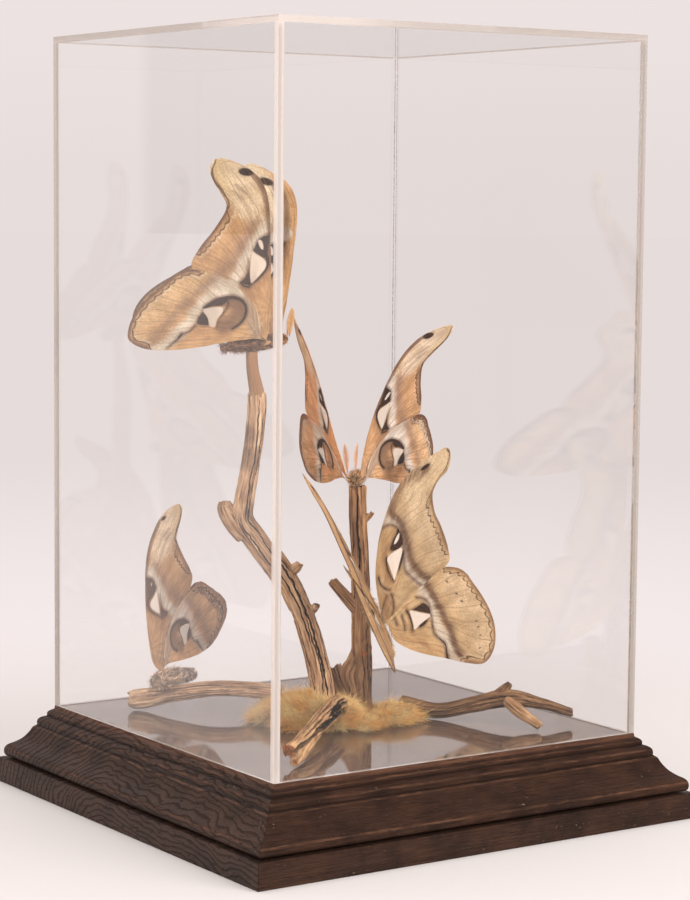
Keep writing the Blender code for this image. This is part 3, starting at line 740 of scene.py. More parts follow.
UPPER_HIND = {
    "hind": True,
    "ground": STRAW,
    "washes": [
        (CREAM, 0.55, 10, 2, [(44, 44), (38, 60), (28, 76), (14, 88)]),
        (STRAW, 0.7, 14, 4, [(10, 4), (24, 12), (30, 20)]),
        ((0.68, 0.45, 0.23), 0.8, 9, 4, [(-5, 12), (-5, 34), (-3, 52), (-4, 66)]),
        (CHALK, 0.95, 4.2, 4, [(36, 14), (31.5, 22), (28.6, 29), (24, 35.6), (18.4, 41.2), (13, 46),
                               (9.4, 52), (6.8, 59), (1.9, 65), (-3.5, 71), (-6, 78)]),
        (MAUVE, 0.35, 4.2, 2, [(41, 20), (35, 30.4), (30.4, 37.6), (26, 44.4), (21.3, 51.4), (16, 58.4),
                               (10.6, 65), (5.6, 71), (1, 78)]),
        (COCOA, 0.95, 3.2, 3, [(37.4, 22), (33.4, 30), (28.6, 37), (24.2, 43.6), (19.6, 50.4),
                               (14.4, 57.4), (9, 64), (4, 70), (0, 76)]),
        (COCOA, 0.55, 1.8, 4, [(37.4, 22), (28.6, 37), (19.6, 50.4), (9, 64), (0, 76)]),
        (RUST, 0.45, 2.6, 2, [(16, 14), (9, 22), (2, 27)]),
        (RUST, 0.35, 1.6, 2, [(-4, 20), (-3, 42), (-3, 58)]),
    ],
    "windows": [
        [(15.2, 17.6), (16.9, 27.9), (18.2, 37), (12.8, 33.6), (8.4, 30.7), (4, 28), (7.8, 25),
         (11.8, 20.9)],
    ],
    "patches": [
        [(15.6, 18), (19.9, 22.6), (24.2, 26.5), (23.4, 31.9), (19.2, 36.3), (17.5, 29.4), (16.4, 23)],
        [(18.6, 38), (19.6, 36.4), (15, 36.6), (10, 35.2), (6.2, 31.6), (8.4, 30.4), (12.8, 33.3)],
    ],
    "bars": [
        (1.0, 0.8, [(14.2, 15.4), (11.4, 19.6), (7.4, 23.8), (3.2, 26.8)]),
        (0.7, 0.6, [(9.6, 13), (6.4, 16.2), (1.2, 20.4)]),
        (0.5, 0.4, [(5.6, 8.2), (2.4, 12)]),
        (0.5, 0.7, [(25.5, 19), (26.8, 25.4), (25.2, 31.1), (20.3, 35.4), (15, 39.8), (11, 42.4),
                    (7, 46.6), (5.1, 53), (3.3, 58.7), (-1, 62.4), (-6, 67)]),
        (0.8, 1.4, [(5, 53.5), (3.3, 58.7), (-1.4, 62.2), (-6.4, 66)]),
    ],
    "wave": (3.9, 3.9, 2.4),
    "spots": [(INK, 44.6, 39.6, 0.5, 1.3, 20), (INK, 39.6, 51.5, 0.5, 1.4, 0),
              (INK, 36.4, 58.3, 0.5, 1.3, 0), (INK, 27.6, 77.3, 0.5, 1.2, -20),
              (INK, 24.4, 81, 0.5, 1.2, -30), (INK, 19.4, 85.4, 0.5, 1.0, -40),
              (INK, 11, 89.2, 0.5, 1.0, -60)],
}

# Veins of the fore and the hind wing, in the first outline's s and c.
FORE_VEINS = [
    [(5, -2), (40, -15.5), (75, -24), (100, -27.5), (118, -22)],
    [(56, -17), (80, -21), (104, -18), (127, -9)],
    [(62, -17), (82, -15), (104, -10), (129, -4)], [(57, -9), (80, -10), (98, -6), (108, 0)],
    [(52, -4), (72, -3), (90, 3)], [(48, 0), (66, 6), (84, 15)], [(45, 3), (60, 12), (75, 27)],
    [(42, 4), (54, 17), (67, 33)], [(5, 0), (24, 2), (42, 3)], [(5, 1), (22, 9), (40, 18), (58, 31)],
]
HIND_VEINS = [
    [(5, 4), (25, 1.5), (45, 10), (62, 32)], [(5, 5), (22, 12), (36, 24), (52, 34), (63, 44)],
    [(33, 32), (48, 44), (59, 58)], [(31, 36), (44, 54), (54, 71)], [(28, 38), (38, 60), (47, 81)],
    [(25, 39), (32, 63), (39, 90)], [(5, 6), (14, 24), (22, 42), (26, 66), (30, 93)],
    [(4, 6), (10, 30), (16, 58), (21, 88)],
]

# What wings share: the step of their grids, the brightest colour of a scale, the markings' other colours,
# and the window film as its share and colour.
SCALE_STEP, BRIGHTEST = 0.95, 0.94
VEIN, WAVE, HALO = (0.26, 0.14, 0.075), (0.11, 0.05, 0.025), (0.15, 0.07, 0.038)
FILM = (0.42, (0.80, 0.68, 0.56))


def by_segment(points, line):
    """For each stretch of a line: each point's place along it from 0 to 1, the way there, and its run."""
    line = np.asarray(line, float)
    for start, end in zip(line, line[1:]):
        run = end - start
        t = np.clip(((points - start) @ run) / (run @ run), 0, 1)
        yield t, points - start - t[:, None] * run, run


def segment_reach(points, line, widths=(0, 0)):
    """The distance from each point to a line through these places, less the line's half width there."""
    best = np.full(len(points), 1e9)
    widths = np.linspace(*widths, len(line))
    for (t, away, _), wide, next_wide in zip(by_segment(points, line), widths, widths[1:]):
        best = np.minimum(best, np.linalg.norm(away, axis=1) - wide - (next_wide - wide) * t)
    return best


def softened(line, closed=False, steps=5):
    """The same line with its corners rounded."""
    line = list(line) + ([line[0]] if closed else [])
    places = np.linspace(0, len(line) - 1, steps * (len(line) - 1) + 1)
    return curve_rows(line, places)


def shape_reach(points, outline):
    """The distance from each point to a closed outline, below zero inside it."""
    outline = softened(outline, closed=True, steps=4)
    inside = np.zeros(len(points), bool)
    for (x0, y0), (x1, y1) in zip(outline, outline[1:]):
        crosses = (y0 > points[:, 1]) != (y1 > points[:, 1])
        slope = (x1 - x0) / (y1 - y0) if y1 != y0 else 0
        inside ^= crosses & (points[:, 0] < x0 + (points[:, 1] - y0) * slope)
    return np.where(inside, -1, 1) * segment_reach(points, outline)


def side_of(points, *lines):
    """The signed distance to the nearest of some lines: above zero on its left as it runs."""
    best, sign = np.full(len(points), 1e9), np.ones(len(points))
    for _, away, run in (found for line in lines for found in by_segment(points, line)):
        gap = np.linalg.norm(away, axis=1)
        turn = run[0] * away[:, 1] - run[1] * away[:, 0]
        sign = np.where(gap < best - 1e-9, np.sign(turn), sign)
        best = np.minimum(best, gap)
    return best * sign


def lay(ground, colour, weight):
    """Lays a colour over the ground by a weight for each point."""
    return ground + (np.array(colour) - ground) * weight[:, None]


def paint(places, pattern, rim, tone, lobes, jitter, scallops, streaks):
    """The scales' colours, and how far each place lies beyond the wavy line.

    rim is the distance in from the outer edge. lobes, scallops and streaks run out in a fan from the hub.
    """
    ground = np.tile(np.array(pattern["ground"], float), (len(places), 1))
    for colour, strength, spread, hard, line in pattern["washes"]:
        line = softened(line)
        way = np.sign(side_of(places, line)) if hard == 4 else 1.0
        gap = segment_reach(places, line) + 1.3 * way * lobes + 0.5 * jitter
        broken = 0.35 + 0.65 * streaks if hard == 3 else 1.0
        ground = lay(ground, colour, broken * strength * np.exp(-(np.abs(gap) / spread) ** hard))
    near, far, deep = pattern["wave"]
    inner = near + (far - near) * ease(62, 96, places[:, 0])
    beyond = inner - rim + deep * (scallops - 0.6) + 0.3 * jitter
    off_tip = ease(104, 92, places[:, 0])
    if pattern["hind"]:
        ground = lay(ground, tone.border, 0.85 * tone.net * ease(8.5, 7.0, rim) * off_tip)
    lumps = ease(-3.4, -1.6, beyond) * ease(-0.3, -0.9, beyond) * (0.4 + 0.6 * streaks)
    ground = lay(ground, CREAM, 0.75 * lumps * off_tip * (1 - 0.6 * tone.net))
    ground = lay(ground, tone.border, 0.55 * ease(-0.3, 0.4, beyond) * off_tip)
    wide_rim, fine_rim = ease(2.5, 1.7, rim + 0.3 * jitter), ease(1.4, 0.5, rim)
    ground = lay(ground, tone.rim, 0.75 * wide_rim * ease(108, 88, places[:, 0]))
    ground = lay(ground, tone.rim, 0.6 * fine_rim * ease(116, 100, places[:, 0]))
    for colour, s, c, long, wide, turn in pattern["spots"]:
        ahead, aside = spun(places[:, 0] - s, places[:, 1] - c, -math.radians(turn))
        size = np.hypot(ahead / long, aside / wide) / tone.spot
        ground = lay(ground, colour, ease(1.15, 0.8, size))
    tinted = ground * np.array(tone.tint) * (tone.hind if pattern["hind"] else 1.0)
    return tinted * np.minimum(BRIGHTEST / tinted.max(axis=1), 1.0)[:, None], beyond


def wing_place(root, span, chord, bend, lift, fit):
    """A function that puts places on a wing, and heights over it, in space.

    bend curves it along, across and both, and its tip. fit is its length, its width and its turn.
    """
    s_axis = np.array(Vector(span).normalized())
    c_axis = np.array(chord) - np.dot(chord, s_axis) * s_axis
    c_axis /= np.linalg.norm(c_axis)
    n_axis = np.cross(s_axis, c_axis)
    long, wide, turn = fit

    def place(s, c, height):
        s, c = spun(long * s, wide * c, math.radians(turn))
        off = 0.01 * (bend[0] * s * s + bend[1] * s * c + bend[2] * c * c) + lift + height
        off = off + 0.01 * bend[3] * np.maximum(s - 60, 0) * c
        return np.array(root) + np.outer(s, s_axis) + np.outer(c, c_axis) + np.outer(off, n_axis)

    return place


def wing(name, ribs, master, veins, hub, pattern, own_places, place, tone, finish, shy):
    """One wing: a fine grid on smoothed ribs, with its markings kept on its points, shy mm from its front.

    The markings are read in the wing's own places, or in those of the master outline for its kind.
    """
    ribs, master = ([tuple(-0.6 * value for value in rows[0])] + list(rows) for rows in (ribs, master))
    trial = np.linspace(0, len(ribs) - 1, 600)
    middle = curve_rows(ribs, trial)
    length = path_lengths((middle[:, :2] + middle[:, 2:]) / 2)
    widest = max(math.dist(rib[:2], rib[2:]) for rib in ribs)
    piece, along, across = grid(name + "_scales", int(length[-1] / SCALE_STEP), int(widest / SCALE_STEP))
    rib_place = np.interp(along * length[-1], length, trial)
    own, first = curve_rows(ribs, rib_place), curve_rows(master, rib_place)
    s, c = (own[:, k] + (own[:, k + 2] - own[:, k]) * across for k in (0, 1))
    ms, mc = (first[:, k] + (first[:, k + 2] - first[:, k]) * across for k in (0, 1))
    seen = np.stack([s, c] if own_places else [ms, mc], 1)
    seen[:, 1] -= shy
    drawn = ribs if own_places else master
    outer = [rib[2:] for rib in drawn[6:]]
    if pattern["hind"]:
        outer = [rib[:2] for rib in drawn[8:]] + outer[::-1]
    rim = segment_reach(seen, softened(outer))
    fan_s, fan_c = seen[:, 0] - hub[0], seen[:, 1] - hub[1]
    turn, from_hub = np.arctan2(fan_c, fan_s), np.hypot(fan_s, fan_c)
    lobes = (np.abs(np.sin(turn * 13)) - 0.6) * ease(15, 45, from_hub)
    jitter = wander(s / 1.5, c / 1.5, 0.0, tone.seed, 2)
    scallops = np.abs(np.sin(turn * 40 + 0.25 * jitter))
    streaks = 0.5 + 0.5 * np.tanh(3 * wander(turn * 42, from_hub / 16, 0.0, tone.seed))
    colours, wave = paint(seen, pattern, rim, tone, lobes, jitter, scallops, streaks)
    vein = side_of(np.stack([ms, mc], 1), *(softened(line) for line in veins))
    dark = np.min([shape_reach(seen, shape) + 0.35 for shape in pattern["patches"]]
                  + [segment_reach(seen, softened(line), (0.68 * start, 0.68 * end))
                     for start, end, line in pattern["bars"]], axis=0) + 0.25 * jitter
    window = np.min([shape_reach(seen, shape) for shape in pattern["windows"]], axis=0)
    ripple = 0.35 * wander(s / 26, c / 20, 0.0, tone.seed)
    relief = 0.10 * np.exp(-(vein / 0.5) ** 2) + ripple * ease(4, 22, s)
    if tone.ragged:
        tear = tone.ragged * wander(ms / 5, mc / 5, 0.0, 9.0) * ease(9, 0, rim) * ease(30, 50, mc)
        c, s = c + tear, s + 0.5 * tear
    put_points(piece, place(s, c, relief))
    band = ease(9.5, 8.0, rim) * ease(2.6, 3.6, rim) * ease(46, 62, from_hub)
    keep(piece, dark=dark, window=window + tone.pane[pattern["hind"]],
         wave=wave - 4 * ease(90, 97, seen[:, 0]), vein=vein,
         net=tone.net * band * (1.0 if pattern["hind"] else 0.0), ground=opaque(colours))
    keep_map(piece, turn * 55, from_hub)
    apply(piece, "SOLIDIFY", thickness=WING_THICK * MM, offset=0.0)
    smooth(piece, 60)
    finish_piece(piece, finish, "wing", name)


def scales(name, ink=INK, net=CREAM, film=FILM, lined=1.0):
    """Dry wing scales with dark markings, fine veins, clear windows, and a net of lines at the margin."""
    skin = Surface(name, Roughness=0.8, Specular_IOR_Level=0.14, Sheen_Weight=0.03)
    fan = skin.node("TexCoord", "UV")
    ground, vein = skin.attribute("ground", "Color"), skin.attribute("vein")
    lane = skin.node("CombineXYZ", X=vein, Y=skin.parts(fan)[1], Z=0.0)
    fibre = skin.noise(skin.stretch(lane, (0.9, 6.0, 1)), 1.0, 4.0, 0.6)
    fleck = skin.noise(skin.stretch(fan, (110, 62, 1)), 1.0, 4.0, 0.72)
    cloud = skin.noise(skin.stretch(fan, (7, 5, 1)), 1.0, 3.0, 0.6)
    fibres = skin.between(fibre, 0.36, 0.58)
    ground = skin.shade(ground, fibres, (0.72, 0.66, 0.58), (1.08, 1.08, 1.08), lined)
    ground = skin.shade(ground, skin.between(fleck, 0.38, 0.62), (0.86, 0.83, 0.80), (1.09, 1.09, 1.08))
    ground = skin.shade(ground, skin.between(cloud, 0.35, 0.65), (0.82, 0.77, 0.71), (1.09, 1.09, 1.08))
    ground = skin.lay(skin.between(skin.size(vein), 0.42, 0.08), 0.45, ground, VEIN)
    loops = skin.node("TexVoronoi", "Distance", {"feature": "DISTANCE_TO_EDGE"},
                      Vector=skin.stretch(fan, (30, 38, 1)), Scale=1.0, Randomness=0.85)
    ground = skin.mix(skin.times(skin.between(loops, 0.16, 0.06), skin.attribute("net")), ground, net)
    uneven = skin.times(skin.math("SUBTRACT", fleck, 0.5), 1.6)
    ripple = skin.plus(skin.attribute("wave"), skin.times(uneven, 0.6))
    ground = skin.lay(skin.between(skin.size(ripple), 0.75, 0.3), 0.85, ground, WAVE)
    reach = skin.plus(skin.attribute("dark"), skin.times(uneven, 0.8))
    ground = skin.lay(skin.between(reach, 2.2, 0.2), 0.55, ground, HALO)
    ground = skin.mix(skin.between(reach, 0.25, -0.35), ground, ink)
    skin.colour(ground)
    skin.bump(skin.plus(skin.times(fibre, 0.6), skin.times(fleck, 0.5)), 0.00012, 0.5)
    pane = skin.blend(film[0], skin.one_shader("Transparent", (0.96, 0.93, 0.90)),
                      skin.one_shader("Diffuse", film[1]))
    leaf = skin.blend(0.3, skin.shader.outputs[0], skin.one_shader("Translucent", ground))
    skin.show(skin.blend(skin.between(skin.attribute("window"), 0.25, -0.2), leaf, pane))
    return skin.material


# How a moth's scales differ: tint on all, colours of the border and the rim, seed of the jitter, tint of
# the hindwings, strength of the net, size of the spots, raggedness, and how far windows draw in.
Tone = namedtuple("Tone", "tint border rim seed hind net spot ragged pane",
                  defaults=(1.0, 0.0, 1.0, 0.0, (0, 0)))
RUDDY_RIMS = {"border": (0.27, 0.115, 0.05), "rim": (0.16, 0.07, 0.035), "net": 1.0, "ragged": 0.3}
TONES = {
    "warm": Tone((1.05, 1.08, 1.06), (0.46, 0.27, 0.15), (0.19, 0.09, 0.05), 2.0),
    # Painted light: shaded lifts the colours of a wing that lies in shade.
    "shaded": Tone((1.26, 1.40, 1.50), (0.42, 0.25, 0.15), (0.20, 0.11, 0.065), 4.0, hind=0.9),
    "ruddy": Tone((1.32, 1.42, 1.60), seed=3.0, hind=1.05, **RUDDY_RIMS),
    # Painted light: a brighter copy of the ruddy tone, for a wing that lies in shade at grazing light.
    "lit ruddy": Tone((2.3, 2.3, 2.3), seed=6.0, **RUDDY_RIMS),
    "pale": Tone((0.84, 0.83, 0.82), (0.60, 0.40, 0.22), (0.34, 0.19, 0.10), 5.0, hind=1.17),
    "copper": Tone((0.86, 0.73, 0.58), (0.42, 0.22, 0.11), (0.20, 0.10, 0.05), 7.0),
    "grey": Tone((1.16, 1.22, 1.32), (0.54, 0.31, 0.18), (0.36, 0.19, 0.11), 8.0, hind=1.22,
                 net=0.9, spot=0.6, ragged=0.9, pane=(1.1, -0.8)),
}

# Each moth: its outlines and patterns, its tone, and for each side the wings' root, span, chord, bend,
# fits of the fore and hind wing, and the way the hind wing lies.
MOTHS = {
    "moth_top": ("A", "warm", {
        "right": ((-38, 36, 330), (-0.195, 0.228, 0.954), (-0.818, 0.499, -0.286), (-0.03, 0, 0.02, 0),
                  (1, 1, 0), (1, 0.96, 0), 1),
        "left": ((-25, 47, 330.5), (0.065, 0.40, 0.917), (-0.86, 0.33, -0.27), (0.03, 0, -0.02, 0),
                 (1, 1, 0), (1, 1, 0), -1)}),
    "moth_middle": ("A", "ruddy", {
        "left": ((24.5, 11, 229.5), (0.353, -0.068, 0.933), (0.891, 0.33, -0.313), (-0.2, 0.17, 0.11, 0),
                 (0.93, 1.05, 0), (0.96, 0.99, 0), -1),
        "right": ((17, 17, 229.5), (-0.275, 0.378, 0.884), (0.368, 0.898, -0.246),
                  (-0.1, 0.06, 0.01, -0.35), (0.92, 1.02, -1.9), (0.97, 0.97, 2.0), 1)}),
    "moth_right": ("C", "pale", {
        "right": ((37, -2, 126), (0.37, -0.03, 0.93), (0.919, -0.04, -0.41), (0, 0, 0, 0),
                  (1.03, 0.97, 0), (1.03, 0.985, 2.5), 1),
        "left": ((27.5, -13, 131), (-0.537, -0.005, 0.843), (-0.444, -0.847, -0.283), (0, 0, 0, 0),
                 (0.985, 0.985, 0), (0.985, 0.88, 0), -1)}),
    "moth_left": ("D", "grey", {
        "left": ((-95.5, 85.5, 89.5), (0.125, 0.007, 0.99), (0.863, 0.48, -0.05), (0, 0, 0, 0),
                 (1.03, 1.02, 0), (1.03, 1.02, 0), -1),
        "right": ((-92.5, 91, 88.5), (0.125, 0.007, 0.99), (0.863, 0.48, -0.05), (0, 0, 0, 0),
                  (1.02, 0.99, 0), (1.02, 0.99, 0), 1)}),
}

# The wing whose markings lie farther back from its front, and the sides whose tone isn't their moth's; the
# shaded and lit ruddy tones are brighter copies, painted light for wings in shade.
SHY = {"moth_top_forewing_left": 7.0}
OTHER_TONE = {("moth_top", "left"): "shaded", ("moth_middle", "right"): "lit ruddy",
              ("moth_right", "left"): "copper"}
OUTLINES = {"A": (FORE_A, HIND_A), "C": (FORE_C, HIND_C), "D": (FORE_D, HIND_D)}


def wings():
    """All wings. Hindwings lie a step under or over their forewings."""
    finishes = {"warm": scales("warm brown wing scales", lined=0.6),
                "pale": scales("straw wing scales", lined=0.4),
                "ruddy": scales("ruddy wing scales", lined=0.8),
                "grey": scales("faded wing scales", (0.12, 0.06, 0.038), (0.22, 0.10, 0.055),
                               (0.85, (0.86, 0.77, 0.70)), lined=0.6)}
    for moth, (kind, shade, sides) in MOTHS.items():
        patterns = (UPPER_FORE, UPPER_HIND) if kind == "C" else (UNDER_FORE, UNDER_HIND)
        for side, (*stance, fore_fit, hind_fit, under) in sides.items():
            tone = TONES[OTHER_TONE.get((moth, side), shade)]
            for part, outline, master, veins, hub, pattern, lift, fit in (
                    ("forewing", OUTLINES[kind][0], FORE_A, FORE_VEINS, (20, -12), patterns[0],
                     0.0, fore_fit),
                    ("hindwing", OUTLINES[kind][1], HIND_A, HIND_VEINS, (12, 4), patterns[1],
                     under * WING_STEP, hind_fit)):
                name = f"{moth}_{part}_{side}"
                wing(name, outline, master, veins, hub, pattern, kind == "C",
                     wing_place(*stance, lift, fit), tone, finishes[shade], SHY.get(name, 0.0))


# ---------------------------------------------------------------- driftwood

# Limbs as (x, y, z, radius) along the middle of the wood.
TALL = [
    (4, 29, 60.2, 9.6), (3, 29, 83, 8.2), (-5, 34, 120, 7.6), (-14, 40, 147, 7.8),
    (-22, 45, 163, 8.0), (-36, 53, 185, 8.2), (-44, 57, 200, 7.6), (-43, 56, 214, 6.6),
    (-41, 52.5, 237, 6.2), (-38.5, 49.5, 265, 6.3), (-38, 48, 290, 5.9), (-41, 49, 308, 5.1),
    (-42, 49, 321.8, 4.7),
]
TRUNK = [
    (30, 11, 60.4, 5.6), (29, 12, 74, 5.9), (28, 12.5, 92, 7.2), (27, 13, 120, 6.9), (26, 13, 166, 6.5),
    (24, 13, 196, 6.5), (23, 13, 225.5, 6.3),
]
LEFT = [
    (-22, 43, 72.5, 6.0), (-40, 56, 75, 5.7), (-62, 69, 75.5, 5.6), (-85, 88, 71, 6.0),
    (-99, 99.5, 67.6, 7.2), (-105.5, 104.5, 66.6, 7.2), (-109.5, 107.5, 66.0, 5.6),
]
RIGHT = [
    (46, -12, 67, 6.4), (60, -37, 65, 5.6), (78, -53.5, 70, 5.6), (97, -70, 75.5, 6.4),
    (115, -85, 73, 4.3), (133, -101, 66.5, 3.2),
]
FORK = [(95.5, -71, 75.0, 4.2), (94.5, -83, 71.6, 4.2), (95, -91, 68.5, 4.1), (96, -110, 62.6, 2.9)]
FRONT = [
    (-12, -17, 72.8, 7.8), (-42, -46, 73.5, 6.7), (-73, -75, 71.5, 5.6), (-96, -96, 70, 4.9),
    (-113, -109, 68.8, 4.2),
]
PRONG = [(-57, -60, 71, 5.0), (-87, -91, 67, 4.4), (-114, -117, 62.8, 3.5)]
BACK = [(27, 37, 66, 6.4), (25, 41, 77, 6.9), (23, 45, 87, 7.3)]
TALL_KNOB = [(-42, 56.5, 188, 7.2), (-49, 60.5, 197, 7.0), (-54, 63.4, 207, 6.4), (-55, 64, 213, 4.2)]
TALL_STUBS = [
    [(-22, 45, 160, 4.5), (-14, 39, 164, 3.8), (-11, 36, 168, 2.8)],
    [(-11, 38, 131, 4.5), (-3, 32, 134, 3.4), (0, 30, 138, 2.4)],
]
TRUNK_STUBS = [
    [(26, 13, 132, 4.5), (16, 17, 144, 4.2), (6, 20, 156, 3.6)],
    [(26, 13, 198, 3.0), (31, 9, 203, 2.0), (33, 8, 206, 1.4)],
    [(26, 14, 108, 3.6), (22.5, 16, 95, 5.4), (20, 18, 86, 6.0), (25, 15, 66, 4.6)],
]
RIGHT_NUB = [(91, -65, 75.5, 4.4), (95, -68, 81, 3.6), (99.5, -71.5, 86.5, 2.2)]

# Cracks in each limb: angle about it in degrees, from and to along it, half width and depth.
CRACKS = {
    "tall": [(192, 4, 118, 0.75, 1.8), (160, 50, 156, 0.5, 1.2), (228, 16, 96, 0.5, 1.2),
             (120, 10, 60, 0.4, 0.9), (208, 104, 182, 0.5, 1.1), (244, 188, 252, 0.5, 0.9),
             (176, 0, 70, 0.4, 1.0), (186, 150, 244, 0.45, 1.0), (216, 176, 238, 0.4, 0.9),
             (30, 20, 140, 0.5, 1.2), (310, 60, 160, 0.4, 1.0), (70, 150, 240, 0.4, 0.9)],
    "trunk": [(164, 84, 165, 0.75, 1.8), (196, 100, 150, 0.3, 0.7), (236, 4, 52, 0.8, 1.8),
              (205, 20, 90, 0.3, 0.7), (120, 60, 140, 0.35, 0.9), (20, 30, 120, 0.6, 1.2),
              (320, 50, 150, 0.4, 1.0), (175, 6, 50, 0.35, 0.8)],
    "left": [(150, 8, 96, 0.25, 0.6), (190, 14, 80, 0.25, 0.6), (120, 20, 90, 0.22, 0.5),
             (230, 30, 100, 0.28, 0.6), (40, 10, 90, 0.4, 0.8)],
    "right": [(205, 2, 52, 0.45, 1.2), (165, 10, 60, 0.32, 0.8), (240, 4, 30, 0.45, 1.0),
              (150, 62, 92, 0.35, 0.8), (60, 10, 90, 0.4, 0.9)],
    "fork": [(180, 2, 30, 0.25, 0.5)],
    "front": [(206, 8, 141, 2.3, 6.4), (236, 2, 56, 1.3, 3.4), (258, 2, 44, 0.8, 2.4),
              (184, 30, 90, 0.7, 2.0), (262, 14, 120, 0.32, 0.8), (290, 10, 110, 0.30, 0.8),
              (160, 20, 120, 0.4, 0.9), (25, 4, 70, 0.6, 1.4), (320, 20, 110, 0.35, 1.0)],
    "back": [(200, 0, 20, 0.3, 0.8)],
}


# Colours of the wood, from light to dark, and of its slits, pits, bare heart, stains and painted shade,
# cracks laid near black as painted shade, and rust.
WOODS = {
    "weathered": ((0.52, 0.335, 0.20), (0.345, 0.195, 0.108), (0.10, 0.050, 0.028)),
    "warm": ((0.72, 0.46, 0.25), (0.49, 0.28, 0.14), (0.13, 0.062, 0.030)),
    # The brown wood is darkened partly as painted shade, for the right limb's shaded lower side.
    "brown": ((0.35, 0.205, 0.105), (0.165, 0.086, 0.041), (0.038, 0.018, 0.009)),
    "umber": ((0.52, 0.30, 0.155), (0.34, 0.178, 0.086), (0.085, 0.040, 0.021)),
    "ashen": ((0.72, 0.49, 0.31), (0.52, 0.31, 0.18), (0.13, 0.066, 0.038)),
}
SLIT, PIT, HEART = (0.045, 0.026, 0.018), (0.07, 0.04, 0.028), (0.44, 0.23, 0.11)
# The cracks' near black is painted shade.
DARK_STAIN_AND_SHADE, CRACK_SHADE = (0.055, 0.032, 0.022), (0.010, 0.006, 0.004)
RUSTY = ((0.35, (0.13, 0.042, 0.014)), (0.62, (0.36, 0.13, 0.045)))

# Each piece: its middle lines, both ends of each as (raggedness, hollow), its wood, its marks as (kind,
# place, size, amount), and how far along it the outer skin ends and the bare heart begins.
BROKEN = ((0.4, 2.4), (0, 1.5))
LIMBS = {
    "branch_tall": (
        [TALL, TALL_KNOB, *TALL_STUBS],
        [((0.4, 0.8), (0, 0)), ((0.4, 1.2), (0, 1.4)), BROKEN, BROKEN], "ashen",
        [("stain_and_shade", (-44, 49, 245), 11, 0.6), ("stain_and_shade", (-43, 50, 262), 9, 0.6),
         ("stain_and_shade", (-40, 52, 205), 9, 0.5), ("stain_and_shade", (0, 30, 138), 3, 0.7),
         ("stain_and_shade", (-53, 62, 211), 4, 0.4)], 246.0),
    "branch_trunk": (
        [TRUNK, *TRUNK_STUBS], [((0.4, 2.2), (0, 5.0)), BROKEN, BROKEN, ((0.2, 0.2), (0, 0))], "umber",
        [("knot", (28.5, 3.9, 106.9), 4.6, 0.9), ("knot", (20.5, 5.0, 81.7), 4.0, 0.8),
         ("knot", (25, 1.0, 73.1), 4.2, 0.7), ("cut", (24.5, 6.0, 103.2), 2.2, 0.95),
         ("stain_and_shade", (23, 13, 221), 4.2, 1.0), ("stain_and_shade", (27, 6, 84), 24, 0.6),
         ("knot", (30, 3.0, 88), 3.4, 0.6)], None),
    "branch_left": ([LEFT], [((0.4, 3.4), (0, 2.5))], "ashen", [("knot", (-98, 95, 72), 3.0, 0.5)], None),
    "branch_right": (
        [RIGHT, RIGHT_NUB], [((0.4, 2.2), (0, 1.0)), ((0.4, 1.2), (0, 0.6))], "brown",
        [("stain_and_shade", (97, -70, 88), 4.5, 0.95), ("knot", (92, -72, 77), 2.6, 0.8),
         ("stain_and_shade", (133, -101, 66.5), 7, 0.35), ("stain_and_shade", (97, -72, 70), 8, 0.45),
         # Painted shade: the last mark darkens the lower side of the right limb.
         ("stain_and_shade", (62, -38, 62), 14, 0.4)], None),
    "branch_right_fork": ([FORK], [((0.2, 1.4), (0, 0.4))], "warm", [], None),
    "branch_front": (
        [FRONT, PRONG], [((2.8, 0.3), (4.5, 0)), ((0.2, 0.3), (0, 0))], "warm",
        [("cut", (-115, -111, 68.8), 4.6, 0.95), ("cut", (-116.5, -119.5, 62.8), 4.0, 0.95),
         ("stain_and_shade", (-12, -17, 72.8), 7.0, 0.8), ("stain_and_shade", (-30, -38, 70), 8, 0.3)], None),
    "branch_back": (
        [BACK], [((0.2, 2.4), (0, 2.0))], "weathered",
        [("stain_and_shade", (23, 41, 84), 2.0, 0.9), ("stain_and_shade", (26, 38, 80), 1.6, 0.8),
         ("stain_and_shade", (20, 42, 79), 1.2, 0.8)], None),
}


def spine(line, step=1.0):
    """A limb's middle line at even steps: places, radii, lengths, and its three axes at each."""
    trial = np.linspace(0, len(line) - 1, 40 * len(line))
    length = path_lengths(curve_rows(line, trial)[:, :3])
    count = max(int(length[-1] / step), 4)
    along = np.linspace(0, length[-1], count + 1)
    rows = curve_rows(line, np.interp(along, length, trial))
    ahead = np.gradient(rows[:, :3], axis=0)
    ahead /= np.linalg.norm(ahead, axis=1)[:, None]
    side, sides = np.array((0.31, 0.83, 0.17)), []
    for direction in ahead:
        side = side - (side @ direction) * direction
        side = side / np.linalg.norm(side)
        sides.append(side)
    sides = np.array(sides)
    return rows[:, :3], rows[:, 3], along, ahead, sides, np.cross(ahead, sides)


def tube(name, around, cap, last):
    """A grid to wrap round a line: each point's angle and row, and how far it is from an end's middle."""
    rows = last + 2 * cap
    piece, turn, row = grid(name, around, rows)
    row = np.round(row * rows).astype(int)
    fill = np.clip(np.minimum(row, rows - row) / cap, 0, 1)
    return piece, 2 * math.pi * turn, np.clip(row - cap, 0, last), fill


